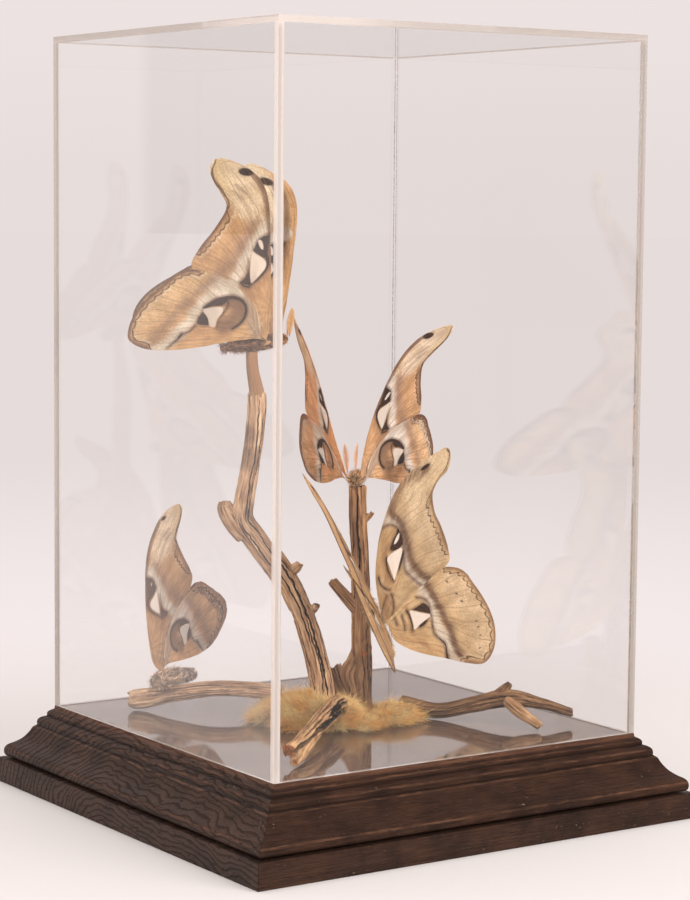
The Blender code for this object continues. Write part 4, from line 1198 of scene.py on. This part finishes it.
def shell(line, jag, hollow, seed):
    """A closed tube round a limb. jag makes an end ragged and hollow sinks its middle, in millimetres."""
    places, radii, _, ahead, side, across = spine(line)
    last = len(places) - 1
    piece, angle, index, fill = tube("limb", 40, 6, last)
    out = square_out(angle, side[index], across[index])
    points = places[index] + (radii[index] * fill)[:, None] * out
    for end, way, ragged, sunk in ((0, -1, jag[0], hollow[0]), (last, 1, jag[1], hollow[1])):
        flat = points / 2.2
        chips = wander(flat[:, 0], flat[:, 1], flat[:, 2] * 0.3, seed + 5 * way, 3)
        near = np.exp(-np.abs(index - end) / 2.5)
        inside = (index == end) * (fill < 1)
        shift = way * near * ragged * chips - way * inside * sunk * (1 - fill ** 2)
        points = points + shift[:, None] * ahead[index]
    put_points(piece, points)
    weld(piece)
    return piece


def follow(points, lines):
    """Each point's place by the nearest limb: across it both ways and along it, and the way outward."""
    nearest, owner = np.full(len(points), 1e9), np.zeros(len(points), int)
    local, outward = np.zeros((2, len(points), 3))
    for number, line in enumerate(lines):
        places, radii, along, ahead, side, across = spine(line)
        square = (points ** 2).sum(1)[:, None] - 2 * points @ places.T + (places ** 2).sum(1)[None, :]
        index = square.argmin(1)
        away = points - places[index]
        run = (away * ahead[index]).sum(1)
        away = away - run[:, None] * ahead[index]
        reach = np.linalg.norm(away, axis=1)
        gap = np.hypot(np.maximum(reach - radii[index], 0), np.abs(run) * (np.abs(run) > 1))
        gap = np.where(reach < radii[index], reach - radii[index], gap)
        found = np.stack([(away * side[index]).sum(1), (away * across[index]).sum(1),
                          along[index] + run], 1)
        closer = gap < nearest
        nearest[closer], owner[closer] = gap[closer], number
        local[closer] = found[closer]
        outward[closer] = (away / np.maximum(reach, 0.01)[:, None])[closer]
    return local, outward, owner


def limb(name, lines, ends, finish, marks, sheath):
    """One piece of driftwood: its shells joined, made into one skin, then grooved, cracked and marked."""
    shells = [shell(line, *end, 3.0 * number) for number, (line, end) in enumerate(zip(lines, ends))]
    piece = shells[0]
    choose(piece)
    for other in shells[1:]:
        other.select_set(True)
    if len(shells) > 1:
        bpy.ops.object.join()
    piece.name = piece.data.name = name + "_wood"
    apply(piece, "REMESH", mode="VOXEL", voxel_size=0.62 * MM, adaptivity=0.0)
    apply(piece, "SMOOTH", factor=0.5, iterations=5)
    points = points_of(piece)
    local, outward, owner = follow(points, lines)
    x, y, w = local.T
    angle, first = np.arctan2(y, x), owner == 0
    c, s, still = np.cos(angle), np.sin(angle), 0 * w
    seed = float(sum(map(ord, name)) % 17)
    lift = 0.55 * wander(2.0 * c + seed, 2.0 * s, w / 32, 1.0)
    lift += 0.30 * wander(6 * c, 6 * s + seed, w / 26, 4.0)
    lift += 0.16 * wander(13 * c, 13 * s, w / 12 + seed, 6.0)
    crack = np.full(len(points), 9.0)
    for start, low, high, half, depth in CRACKS[name.split("_")[-1]]:
        path = math.radians(start) + 0.22 * wander(w / 24, still, start, 2.0)
        path = path + 0.10 * wander(w / 5, still, start, 3.0)
        away = np.abs((angle - path + math.pi) % (2 * math.pi) - math.pi) * np.hypot(x, y)
        slim = half * (0.35 + 0.65 * ease(low, low + 9, w) * ease(high, high - 12, w))
        slim = slim * (1 + 0.5 * wander(w / 7, still, start + 3, 5.0))
        gone = ease(low - 1, low + 2, w) * ease(high + 1, high - 2, w) * first
        lift -= depth * ease(1.3, 0.2, away / slim) * gone
        crack = np.minimum(crack, np.where(gone > 0.3, away / np.maximum(slim, 0.05), 9.0))
    bare = np.zeros(len(points))
    if sheath:
        edge = sheath + 3.5 * wander(2.2 * c, 2.2 * s, still, 7.0)
        bare = ease(edge - 0.5, edge + 0.5, w) * first
        lift += np.where(first, 0.55 - 1.3 * bare, 0)
    rust, shade = np.zeros((2, len(points)))
    for kind, place, size, amount in marks:
        gap = np.linalg.norm(points - place, axis=1) / size
        if kind == "cut":
            rust = np.maximum(rust, amount * ease(1.1, 0.9, gap))
        elif kind == "stain_and_shade":
            shade = np.maximum(shade, amount * ease(1.2, 0.5, gap))
        else:
            shade = np.maximum(shade, amount * ease(1.0, 0.2, gap))
            lift += 0.8 * ease(1.6, 0.9, gap) - 1.9 * ease(0.8, 0.1, gap)
    put_points(piece, points + lift[:, None] * outward)
    keep(piece, crack=crack, bare=bare, rust=rust, shade=shade, groove=lift,
         grain=np.stack([x, y, w + 40.0 * owner], 1))
    smooth(piece, 70)
    return finish_piece(piece, finish, "driftwood", name)


def weathered(name, light, middle, dark):
    """Grey-brown weathered wood, its fibres, stains and cracks running along the limb, with painted shade
    in its sunken parts, its cracks and some of its marks.
    """
    wood = Surface(name, Roughness=0.88, Specular_IOR_Level=0.1)
    grain = wood.attribute("grain", "Vector")
    long = wood.noise(wood.stretch(grain, (0.55, 0.55, 0.030)), 1.0, 5.0, 0.62, 0.5)
    thread = wood.noise(wood.stretch(grain, (2.4, 2.4, 0.09)), 1.0, 4.0, 0.6, 0.4)
    cloud = wood.noise(wood.stretch(grain, (0.09, 0.09, 0.035)), 1.0, 3.0, 0.6)
    pit = wood.noise(wood.stretch(grain, (1.6, 1.6, 0.8)), 1.0, 3.0, 0.6)
    lightest = tuple(1.15 * value for value in light)
    tint = wood.ramp(long, (0.34, dark), (0.45, middle), (0.57, light), (0.70, lightest))
    tint = wood.shade(tint, wood.between(thread, 0.36, 0.62), (0.70, 0.66, 0.62), (1.10, 1.10, 1.10))
    tint = wood.shade(tint, wood.between(cloud, 0.36, 0.64), (0.74, 0.70, 0.68), (1.12, 1.12, 1.10))
    # Painted shade: the sunken parts of the wood are laid darker.
    groove = wood.between(wood.attribute("groove"), 0.05, -0.65)
    tint = wood.lay(groove, 0.72, tint, tuple(0.6 * value for value in dark))
    slit = wood.times(wood.between(thread, 0.335, 0.295), wood.between(cloud, 0.40, 0.55))
    tint = wood.lay(slit, 0.8, tint, SLIT)
    tint = wood.lay(wood.between(pit, 0.68, 0.74), 0.5, tint, PIT)
    tint = wood.lay(wood.attribute("bare"), 0.6, tint, HEART)
    # Stains and knots darken the wood here, and one mark is painted shade on the right limb.
    tint = wood.lay(wood.attribute("shade"), 0.85, tint, DARK_STAIN_AND_SHADE)
    # Painted shade: the cracks are laid near black.
    tint = wood.lay(wood.between(wood.attribute("crack"), 1.3, 0.75), 0.97, tint, CRACK_SHADE)
    ring = wood.noise(wood.stretch(grain, (0.9, 0.9, 0.9)), 1.0, 3.0, 0.6)
    wood.colour(wood.mix(wood.attribute("rust"), tint, wood.ramp(ring, *RUSTY)))
    wood.bump(wood.plus(thread, wood.times(long, 0.7)), 0.0006, 0.8)
    return wood.material


def driftwood():
    """Every limb in its own wood."""
    finishes = {name: weathered(f"{name} driftwood", *tones) for name, tones in WOODS.items()}
    for name, (lines, ends, wood, marks, sheath) in LIMBS.items():
        limb(name, lines, ends, finishes[wood], marks, sheath)


# ---------------------------------------------------------------- hairs: bodies, antennae and fur

# Rings in each short hair.
HAIR_RINGS = 4


def strands(name, middles, radii, tints):
    """Thin closed hairs as one piece, from one row of places and one row of radii for each hair.

    A first three-sided hair is extruded, an array repeats it, and each copy is put along its own line.
    """
    count, rings = middles.shape[:2]
    clear_selection()
    bpy.ops.mesh.primitive_circle_add(vertices=3, radius=MM, fill_type="NGON")
    piece = take_new(name)
    extrude(rings - 1, (0, 0, MM))
    first = points_of(piece)
    ring = np.clip(np.round(first[:, 2]).astype(int), 0, rings - 1)
    angle = np.arctan2(first[:, 1], first[:, 0])[None]
    apply(piece, "ARRAY", count=count, use_relative_offset=False)
    ahead = np.gradient(middles, axis=1)
    ahead /= np.maximum(np.linalg.norm(ahead, axis=2), 1e-9)[:, :, None]
    helper = np.where(np.abs(ahead[:, :, 2:3]) < 0.8, (0.0, 0.0, 1.0), (1.0, 0.0, 0.0))
    side = np.cross(ahead, helper)
    side /= np.linalg.norm(side, axis=2)[:, :, None]
    out = square_out(angle, side[:, ring], np.cross(ahead, side)[:, ring])
    points = middles[:, ring] + radii[:, ring, None] * out
    put_points(piece, points.reshape(-1, 3))
    keep(piece, tint=opaque(np.repeat(tints, len(first), axis=0)),
         tip=np.tile(ring / (rings - 1), count))
    choose(piece)
    with edit_mode():
        bpy.ops.mesh.normals_make_consistent(inside=False)
        bpy.ops.mesh.faces_shade_smooth()
    return piece


def hair_lines(roots, ways, lengths, bends, waves=0.0, chance=None):
    """The middle lines of hairs from their roots, first ways, lengths and sideways bends."""
    t = np.linspace(0, 1, HAIR_RINGS)[None, :, None]
    long = lengths[:, None]
    lines = roots[:, None] + (ways * long)[:, None] * t + (bends * long)[:, None] * t ** 2
    if waves:
        shape = (len(roots), 1, 3)
        lines += waves * np.sin(t * chance.uniform(2, 7, shape)) * chance.normal(0, 1, shape)
    return lines


def hair_finish(name, rough, root_shade):
    """Dull hair that takes each hair's own tint, darker toward the root."""
    hair = Surface(name, Roughness=rough, Specular_IOR_Level=0.25)
    up = hair.between(hair.attribute("tip"), 0.0, 0.7)
    hair.colour(hair.shade(hair.attribute("tint", "Color"), up, (root_shade,) * 3, (1.0,) * 3))
    return hair.material


# How fast the rings on an abdomen follow each other, and the hairs of a coat.
BODY_RINGS, COAT_HAIRS = 32, 2200

# Bodies as (x, y, z, radius) from the head to the tail, and their hair colours from head to tail.
BODIES = {
    "moth_top": ([(-60, 60, 323.5, 2.5), (-52, 55, 326, 5.0), (-44, 50, 327, 5.6), (-35, 44, 328, 6.2),
                  (-29, 40, 330, 5.4), (-24, 37, 331, 3.0)],
                 [(0.42, 0.24, 0.13), (0.27, 0.14, 0.075), (0.30, 0.155, 0.08), (0.47, 0.24, 0.115)]),
    "moth_middle": ([(14, 5, 230.8, 2.6), (18, 10, 230, 4.4), (24, 17, 229.6, 4.8), (31, 25, 229.6, 4.5),
                     (42, 38, 229, 4.0), (51, 51, 227, 2.4)],
                    [(0.50, 0.30, 0.15), (0.46, 0.27, 0.14), (0.50, 0.34, 0.20), (0.52, 0.37, 0.24)]),
    "moth_right": ([(22, 1, 148, 2.8), (23.5, -0.5, 143, 4.3), (26, -2.5, 134.5, 5.3),
                    (30, -5.5, 123.5, 5.5), (34, -8.5, 113, 5.0), (38, -11, 102.5, 2.6)],
                   [(0.50, 0.34, 0.18), (0.52, 0.34, 0.18), (0.56, 0.42, 0.27), (0.60, 0.46, 0.31)]),
    "moth_left": ([(-102, 82, 82.2, 4.6), (-96, 85, 82.8, 6.8), (-89, 88, 83.2, 7.2),
                   (-81, 91.5, 83.0, 6.8), (-69, 97.5, 81.8, 6.4), (-58, 103.5, 80.4, 4.8)],
                  [(0.70, 0.48, 0.32), (0.66, 0.48, 0.35), (0.58, 0.45, 0.37), (0.54, 0.42, 0.35)]),
}


def mottled(along, angle):
    """Dark and light patches a few millimetres across for a body's hairs."""
    patches = wander(along / 2.6, 2.0 * np.cos(angle), 2.0 * np.sin(angle), 19.0)
    return (0.45 + 0.95 * ease(-0.35, 0.35, patches))[:, None]


def colours_along(colours, places):
    """The colours blended from the first to the last, at places from 0 to 1."""
    steps = np.linspace(0, 1, len(colours))
    return np.stack([np.interp(places, steps, channel) for channel in zip(*colours)], 1)


def body(name, line, colours, skin, hair):
    """A furry body: a solid core with rings on the abdomen, and short hairs lying toward the tail."""
    places, radii, along, ahead, side, across = spine(line, 0.6)
    last = len(places) - 1
    core, angle, index, fill = tube(name + "_core", 36, 5, last)
    fill = np.sin(fill * math.pi / 2)
    dome = ((index == last) * 1 - (index == 0) * 1) * np.sqrt(np.maximum(1 - fill ** 2, 0))
    out = square_out(angle, side[index], across[index])
    w = along[index] / along[-1]
    swell = np.abs(np.sin(w * BODY_RINGS))
    girth = 0.86 - 0.05 * swell * ease(0.45, 0.55, w)
    points = places[index] + (radii[index] * fill * girth)[:, None] * out
    points += (0.6 * radii[index] * dome)[:, None] * ahead[index]
    put_points(core, points)
    tint = colours_along(colours, w) * mottled(w * along[-1], angle)
    keep(core, tint=opaque(tint * np.where(w > 0.5, 0.75 + 0.25 * swell, 0.7)[:, None] * 0.6),
         tip=np.ones(len(points)))
    weld(core)
    smooth(core, 70)
    finish_piece(core, skin, "moth_body", name + "_body")
    chance = np.random.default_rng(sum(map(ord, name)))
    count = COAT_HAIRS
    w = chance.random(count) ** 0.9
    spot = np.clip((w * last), 0, last).astype(int)
    angle = chance.uniform(0, 2 * math.pi, count)
    out = square_out(angle, side[spot], across[spot])
    roots = places[spot] + (0.80 * radii[spot])[:, None] * out
    shaggy = 1 - 0.72 * ease(0.40, 0.62, w)
    ways = out * (0.25 + 0.5 * shaggy)[:, None] + 0.8 * ahead[spot] + chance.normal(0, 0.28, (count, 3))
    face = -0.8 * ahead[spot] + 0.8 * out + chance.normal(0, 0.3, (count, 3))
    ways = np.where((w < 0.08)[:, None], face, ways)
    ways /= np.linalg.norm(ways, axis=1)[:, None]
    lengths = chance.uniform(1.4, 3.2, count) * (0.45 + 0.95 * shaggy)
    lines = hair_lines(roots, ways, lengths, chance.normal(0, 0.25, (count, 3)))
    thick = np.outer(chance.uniform(0.11, 0.20, count), [1.0, 0.9, 0.6, 0.12])
    tint = colours_along(colours, w)
    tint *= chance.uniform(0.5, 1.9, (count, 1)) * mottled(w * along[-1], angle)
    fleck = (chance.random(count) < 0.10)[:, None]
    tint = np.where(fleck, tint * 1.6 + 0.05, tint)
    finish_piece(strands(name + "_coat", lines, thick, tint), hair, "moth_body")


# Antennae as root, the way they run and the way their barbs spread, with their length and half width.
ANTENNAE = {
    "moth_top_antenna_right": ((-25, 31, 333), (-0.05, -0.3, 0.95), (0.8, -0.5, 0), (0.80, 0.46, 0.20)),
    "moth_top_antenna_left": ((-21, 40, 333), (0.3, 0.15, 0.94), (0.8, -0.5, 0), (0.80, 0.46, 0.20)),
    "moth_middle_antenna_left": ((15, 4, 236), (0.0, -0.1, 1), (0.95, 0.3, 0), (0.80, 0.42, 0.22)),
    "moth_middle_antenna_right": ((10, 7, 235.5), (-0.1, 0.05, 1), (0.6, -0.8, 0), (0.80, 0.42, 0.22)),
    "moth_right_antenna_right": ((19, 2, 152), (-0.5, 0.35, 0.8), (0.8, 0.6, 0), (0.78, 0.48, 0.26)),
    "moth_right_antenna_left": ((17, -2, 151), (-0.6, -0.1, 0.75), (0.5, 0.2, 0.8), (0.78, 0.48, 0.26)),
}

# An antenna's length, its bow and its barbs, and how wide they spread along it.
ANTENNA_LONG, ANTENNA_BOW, BARBS = 21.0, 0.5, 112
BARB_PLACES, BARB_LENGTHS = [0, 0.19, 0.43, 0.67, 0.86, 1.0], [0.5, 1.9, 2.75, 2.5, 1.5, 0.3]


def antennae(hair):
    """Feathery antennae: a shaft with close barbs on both sides, widest before the middle."""
    for name, (root, span, spread, colour) in ANTENNAE.items():
        chance = np.random.default_rng(sum(map(ord, name)))
        span = np.array(span) / np.linalg.norm(span)
        spread = np.array(spread, float) - np.dot(spread, span) * span
        spread /= np.linalg.norm(spread)
        normal = np.cross(span, spread)

        def on_shaft(t):
            """Places along the bowed shaft."""
            bow = ANTENNA_BOW * np.sin(math.pi * t)
            return np.array(root) + np.outer(ANTENNA_LONG * t, span) + np.outer(bow, normal)

        t = np.linspace(0, 1, 9)
        shaft = strands(name + "_shaft", on_shaft(t)[None], np.array([0.42 - 0.30 * t]),
                        np.array([colour]) * 0.8)
        finish_piece(shaft, hair, "antenna", name)
        place = np.repeat(np.linspace(0.04, 0.99, BARBS // 2), 2)
        way = np.tile([1.0, -1.0], BARBS // 2)
        half = np.interp(place, BARB_PLACES, BARB_LENGTHS)
        ways = np.outer(way, spread) + 0.55 * span + 0.12 * normal + chance.normal(0, 0.05, (BARBS, 3))
        ways /= np.linalg.norm(ways, axis=1)[:, None]
        lines = hair_lines(on_shaft(place), ways, half * 1.05, np.outer(np.full(BARBS, 0.12), span))
        tint = np.array([colour]) * chance.uniform(0.85, 1.2, (BARBS, 1))
        thick = np.outer(np.full(BARBS, 0.17), [1.0, 0.9, 0.7, 0.3])
        finish_piece(strands(name + "_barbs", lines, thick, tint), hair, "antenna")


# The fur tuft's middle, half length, half width and height, its long axis, its coats and their fibres.
TUFT_MIDDLE, TUFT_LONG, TUFT_WIDE, TUFT_HIGH = (-5.0, 1.0), 57.0, 47.0, 22.0
TUFT_AXIS = (0.83, 0.56)
COATS, FIBRES = 5, 8000
PALE_FUR, DEEP_FUR = np.array((1.0, 0.71, 0.37)), np.array((1.0, 0.46, 0.14))


def tuft_axes(x, y):
    """Turns steps in x and y into steps right and nearer by the tuft's axes, or back again."""
    return TUFT_AXIS[0] * x - TUFT_AXIS[1] * y, -TUFT_AXIS[1] * x - TUFT_AXIS[0] * y


def tuft_edge(angle):
    """How far the tuft's uneven rim lies out, about 1, in each direction."""
    return 1 + 0.08 * np.sin(3 * angle + 1.2) + 0.05 * np.sin(7 * angle) + 0.05 * np.sin(12 * angle + 1)


def tuft_place(angle, reach):
    """The place in a direction from the tuft's middle, at a reach that is 1 at its rim."""
    wave = tuft_edge(angle)
    x, y = tuft_axes(TUFT_LONG * reach * wave * np.cos(angle), TUFT_WIDE * reach * wave * np.sin(angle))
    return TUFT_MIDDLE[0] + x, TUFT_MIDDLE[1] + y


def tuft_hollow(x, y):
    """How much of its height the tuft keeps at a place: it lies low in front of the two tall limbs."""
    right, near = tuft_axes(x - TUFT_MIDDLE[0], y - TUFT_MIDDLE[1])
    trunk = 0.88 * np.exp(-((right - 24) / 12) ** 2 - ((near + 4) / 34) ** 2)
    tall = 0.45 * np.exp(-((right - 1) / 9) ** 2 - ((near + 14) / 14) ** 2)
    return 1 - trunk - tall


def tuft_height(x, y):
    """The height of the tuft's skin over the panel."""
    right, near = tuft_axes(x - TUFT_MIDDLE[0], y - TUFT_MIDDLE[1])
    right, near = right / TUFT_LONG, near / TUFT_WIDE
    reach = np.hypot(right, near) / tuft_edge(np.arctan2(near, right))
    lump = 1 + 0.22 * np.sin(x / 9.0) * np.cos(y / 8.0) + 0.14 * np.sin(x / 4.1 + 1) * np.sin(y / 3.7)
    lump *= tuft_hollow(x, y)
    return TUFT_HIGH * np.sqrt(np.maximum(1 - reach ** 2, 0)) * lump


def undercoat():
    """The tuft's soft body under its fibres."""
    under, radial, around = grid("tuft_undercoat", 48, 160)
    x, y = tuft_place(2 * math.pi * around, 0.80 * np.sin(np.clip(radial * 1.04, 0, 1) * math.pi / 2))
    high = 0.58 * tuft_height(x, y) + 0.9 * wander(x / 5, y / 5, 0.0, 3.0)
    z = PANEL_TOP + 0.3 + np.where(radial > 0.97, 0.0, np.maximum(high, 0.4))
    put_points(under, np.stack([x, y, z], 1))
    weld(under)
    smooth(under, 80)
    down = Surface("fur undercoat", Roughness=0.95, Specular_IOR_Level=0.1)
    place = down.place()
    mottle = down.noise(place, 0.5, 5.0, 0.7)
    down.colour(down.ramp(mottle, (0.35, (0.42, 0.18, 0.055)), (0.62, (0.95, 0.52, 0.20))))
    down.bump(down.noise(place, 1.6, 4.0, 0.7), 0.001, 0.8)
    finish_piece(under, down.material, "fur", "fur_tuft")


def fur():
    """The tuft: a soft undercoat, and several coats of fine fibres combed outward in locks."""
    undercoat()
    hair = hair_finish("fur fibres", 0.7, 0.66)
    chance = np.random.default_rng(31)
    count = FIBRES
    for coat in range(COATS):
        angle, reach = chance.uniform(0, 2 * math.pi, count), np.sqrt(chance.random(count)) * 0.99
        x, y = tuft_place(angle, reach)
        z = PANEL_TOP + 0.5 + tuft_height(x, y) * chance.uniform(0.25, 0.72, count)
        outward = np.stack([x - TUFT_MIDDLE[0], y - TUFT_MIDDLE[1]], 1)
        outward /= np.maximum(np.linalg.norm(outward, axis=1), 1)[:, None]
        lock = x // 1 / 4.5, y // 1 / 4.5
        swirl = 2.0 * wander(x / 15, y / 15, 0.0, 11.0) + 1.8 * wander(*lock, 0.0, 17.0 + coat)
        turned = np.stack([*spun(*outward.T, swirl), 0 * x], 1)
        puff = 0.5 + wander(*lock, 0.0, 29.0)
        rise = (chance.uniform(0.15, 0.8, count) + 0.7 * puff) * (1 - 0.75 * reach ** 3)
        ways = turned + chance.normal(0, 0.34, (count, 3))
        ways[:, 2] = rise + chance.normal(0, 0.15, count)
        ways /= np.linalg.norm(ways, axis=1)[:, None]
        lengths = chance.uniform(5.0, 14.0, count) * (1 - 0.3 * reach) * (0.75 + 0.5 * np.clip(puff, 0, 1))
        lengths *= 0.4 + 0.6 * tuft_hollow(x, y)
        bends = chance.normal(0, 0.26, (count, 3))
        bends[:, 2] -= 0.22
        lines = hair_lines(np.stack([x, y, z], 1), ways, lengths, bends, 0.3, chance)
        lines[:, :, 2] = np.maximum(lines[:, :, 2], PANEL_TOP + 0.45)
        tone = 3.0 * wander(x / 10, y / 10, 0.0, 23.0) + chance.normal(0, 0.5, count)
        tint = DEEP_FUR + (PALE_FUR - DEEP_FUR) * (0.5 + 0.5 * np.tanh(tone))[:, None]
        shadow = 1 - 0.5 * ease(0.2, 0.55, wander(x / 7, y / 7, 0.0, 37.0))
        tint *= chance.uniform(1.0, 1.35, (count, 1)) * shadow[:, None]
        dark = (chance.random(count) < 0.05)[:, None]
        tint = np.where(dark, tint * 0.35, tint)
        thick = np.outer(chance.uniform(0.05, 0.10, count), [0.9, 1.0, 0.7, 0.12])
        fibres = strands(f"tuft_fibres_{coat + 1}", lines, thick, np.minimum(tint, 0.98))
        finish_piece(fibres, hair, "fur")


def moths():
    """Wings, bodies and antennae of all four moths."""
    wings()
    skin = hair_finish("body skin", 0.85, 1.0)
    hair = hair_finish("body hair", 0.8, 0.7)
    for name, (line, colours) in BODIES.items():
        body(name, line, colours, skin, hair)
    antennae(hair_finish("antenna comb", 0.7, 0.8))


# ---------------------------------------------------------------- floor, light and camera

# The backdrop's colour, the floor's, and what the room's dark front and corners keep of the light.
BACKDROP, FLOOR = (0.792, 0.718, 0.708), (0.588, 0.566, 0.557)
ROOM, CORNER = 0.13, 0.12


def floor():
    """A plain pale floor that fades into the backdrop, and is darker in front in reflections. Its glow is
    a little brighter near the plinth, a painted pool of light.
    """
    clear_selection()
    bpy.ops.mesh.primitive_circle_add(vertices=96, radius=30, fill_type="NGON")
    piece = take_new("studio_floor")
    pale = Surface("studio floor", Base_Color=(*FLOOR, 1), Roughness=0.95, Specular_IOR_Level=0.1)
    metres = pale.node("TexCoord", "Object")
    away = pale.node("VectorMath", "Value", {"operation": "LENGTH"}, i0=metres)
    front = pale.toward(metres, (0.53, -0.85, 0.0))
    mirrored = pale.mirrored()
    unlit = pale.times(pale.between(front, 0.3, 1.1), mirrored)
    # Painted light: the glow is a little brighter near the plinth, a pool of light.
    level = pale.times(pale.between(unlit, 0.0, 1.0, 1.0, ROOM), pale.between(away, 0.3, 2.6, 1.17, 1.0))
    glow = pale.node("Emission", Color=(*BACKDROP, 1), Strength=level)
    both = pale.blend(pale.between(away, 0.35, 0.8), pale.shader.outputs[0], glow)
    dim = pale.node("Emission", Color=(0.02, 0.018, 0.018, 1), Strength=1.0)
    hidden = pale.times(mirrored, pale.between(front, 0.15, 0.5, 0.0, 0.9))
    pale.show(pale.blend(hidden, both, dim))
    piece.data.materials.append(pale.material)


def lamp(name, place, aim, size, power):
    """A soft round lamp that isn't seen itself."""
    clear_selection()
    bpy.ops.object.light_add(type="AREA", location=place)
    made = bpy.context.object
    made.name = name
    made.data.shape = "DISK"
    made.data.size = size
    made.data.energy = power
    made.data.color = (1.0, 0.97, 0.94)
    made.visible_glossy = False
    made.visible_transmission = False
    made.rotation_euler = (Vector(aim) - Vector(place)).to_track_quat("-Z", "Y").to_euler()


def light():
    """A pale room with three soft lamps. Mirrors see it darker in front and on the far left."""
    world = bpy.data.worlds.new("studio")
    world.use_nodes = True
    room = Nodes(world.node_tree)
    way = room.node("TexCoord", "Generated")
    front = room.between(room.toward(way, (0.52, -0.82, 0.22)), 0.0, 0.75, 1.0, ROOM)
    corner = room.between(room.toward(way, (-0.56, 0.82, 0.9)), 0.50, 0.78, 1.0, CORNER)
    side = room.between(room.toward(way, (-0.8697, -0.4935, 0)), -0.004, 0.004, 1.0, CORNER)
    above = room.between(room.toward(way, (0, 0, 1)), 0.0, 0.075, 1.01, 1.065)
    dimmed = room.times(front, room.most(corner, side))
    backdrop = room.nodes["Background"]
    backdrop.inputs["Color"].default_value = (*BACKDROP, 1)
    room.feed(backdrop.inputs["Strength"], room.node("Mix", i0=room.mirrored(), i2=above, i3=dimmed))
    bpy.context.scene.world = world
    lamp("key", (-1.8, -1.5, 1.3), (0, 0, 0.25), 1.4, 45)
    lamp("fill", (0.9, -2.2, 0.7), (0, 0, 0.25), 1.4, 50)
    lamp("top", (0.1, 0.2, 2.4), (0, 0, 0.2), 1.6, 23)
    bpy.context.scene.view_settings.view_transform = "Standard"


def camera():
    """The camera at the photograph's viewing angle."""
    clear_selection()
    bpy.ops.object.camera_add(location=EYE)
    eye = bpy.context.object
    eye.data.lens = LENS
    eye.data.sensor_width = 36.0
    eye.data.clip_end = 100
    a, e, r = (math.radians(value) for value in (AZIMUTH, ELEVATION, ROLL))
    back = Vector((math.sin(a) * math.cos(e), -math.cos(a) * math.cos(e), math.sin(e)))
    level = Vector((math.cos(a), math.sin(a), 0))
    high = back.cross(level)
    right = math.cos(r) * level + math.sin(r) * high
    up = math.cos(r) * high - math.sin(r) * level
    eye.rotation_euler = Matrix((right, up, back)).transposed().to_euler()
    bpy.context.scene.camera = eye


plinth()
cover()
moths()
driftwood()
fur()
floor()
light()
camera()
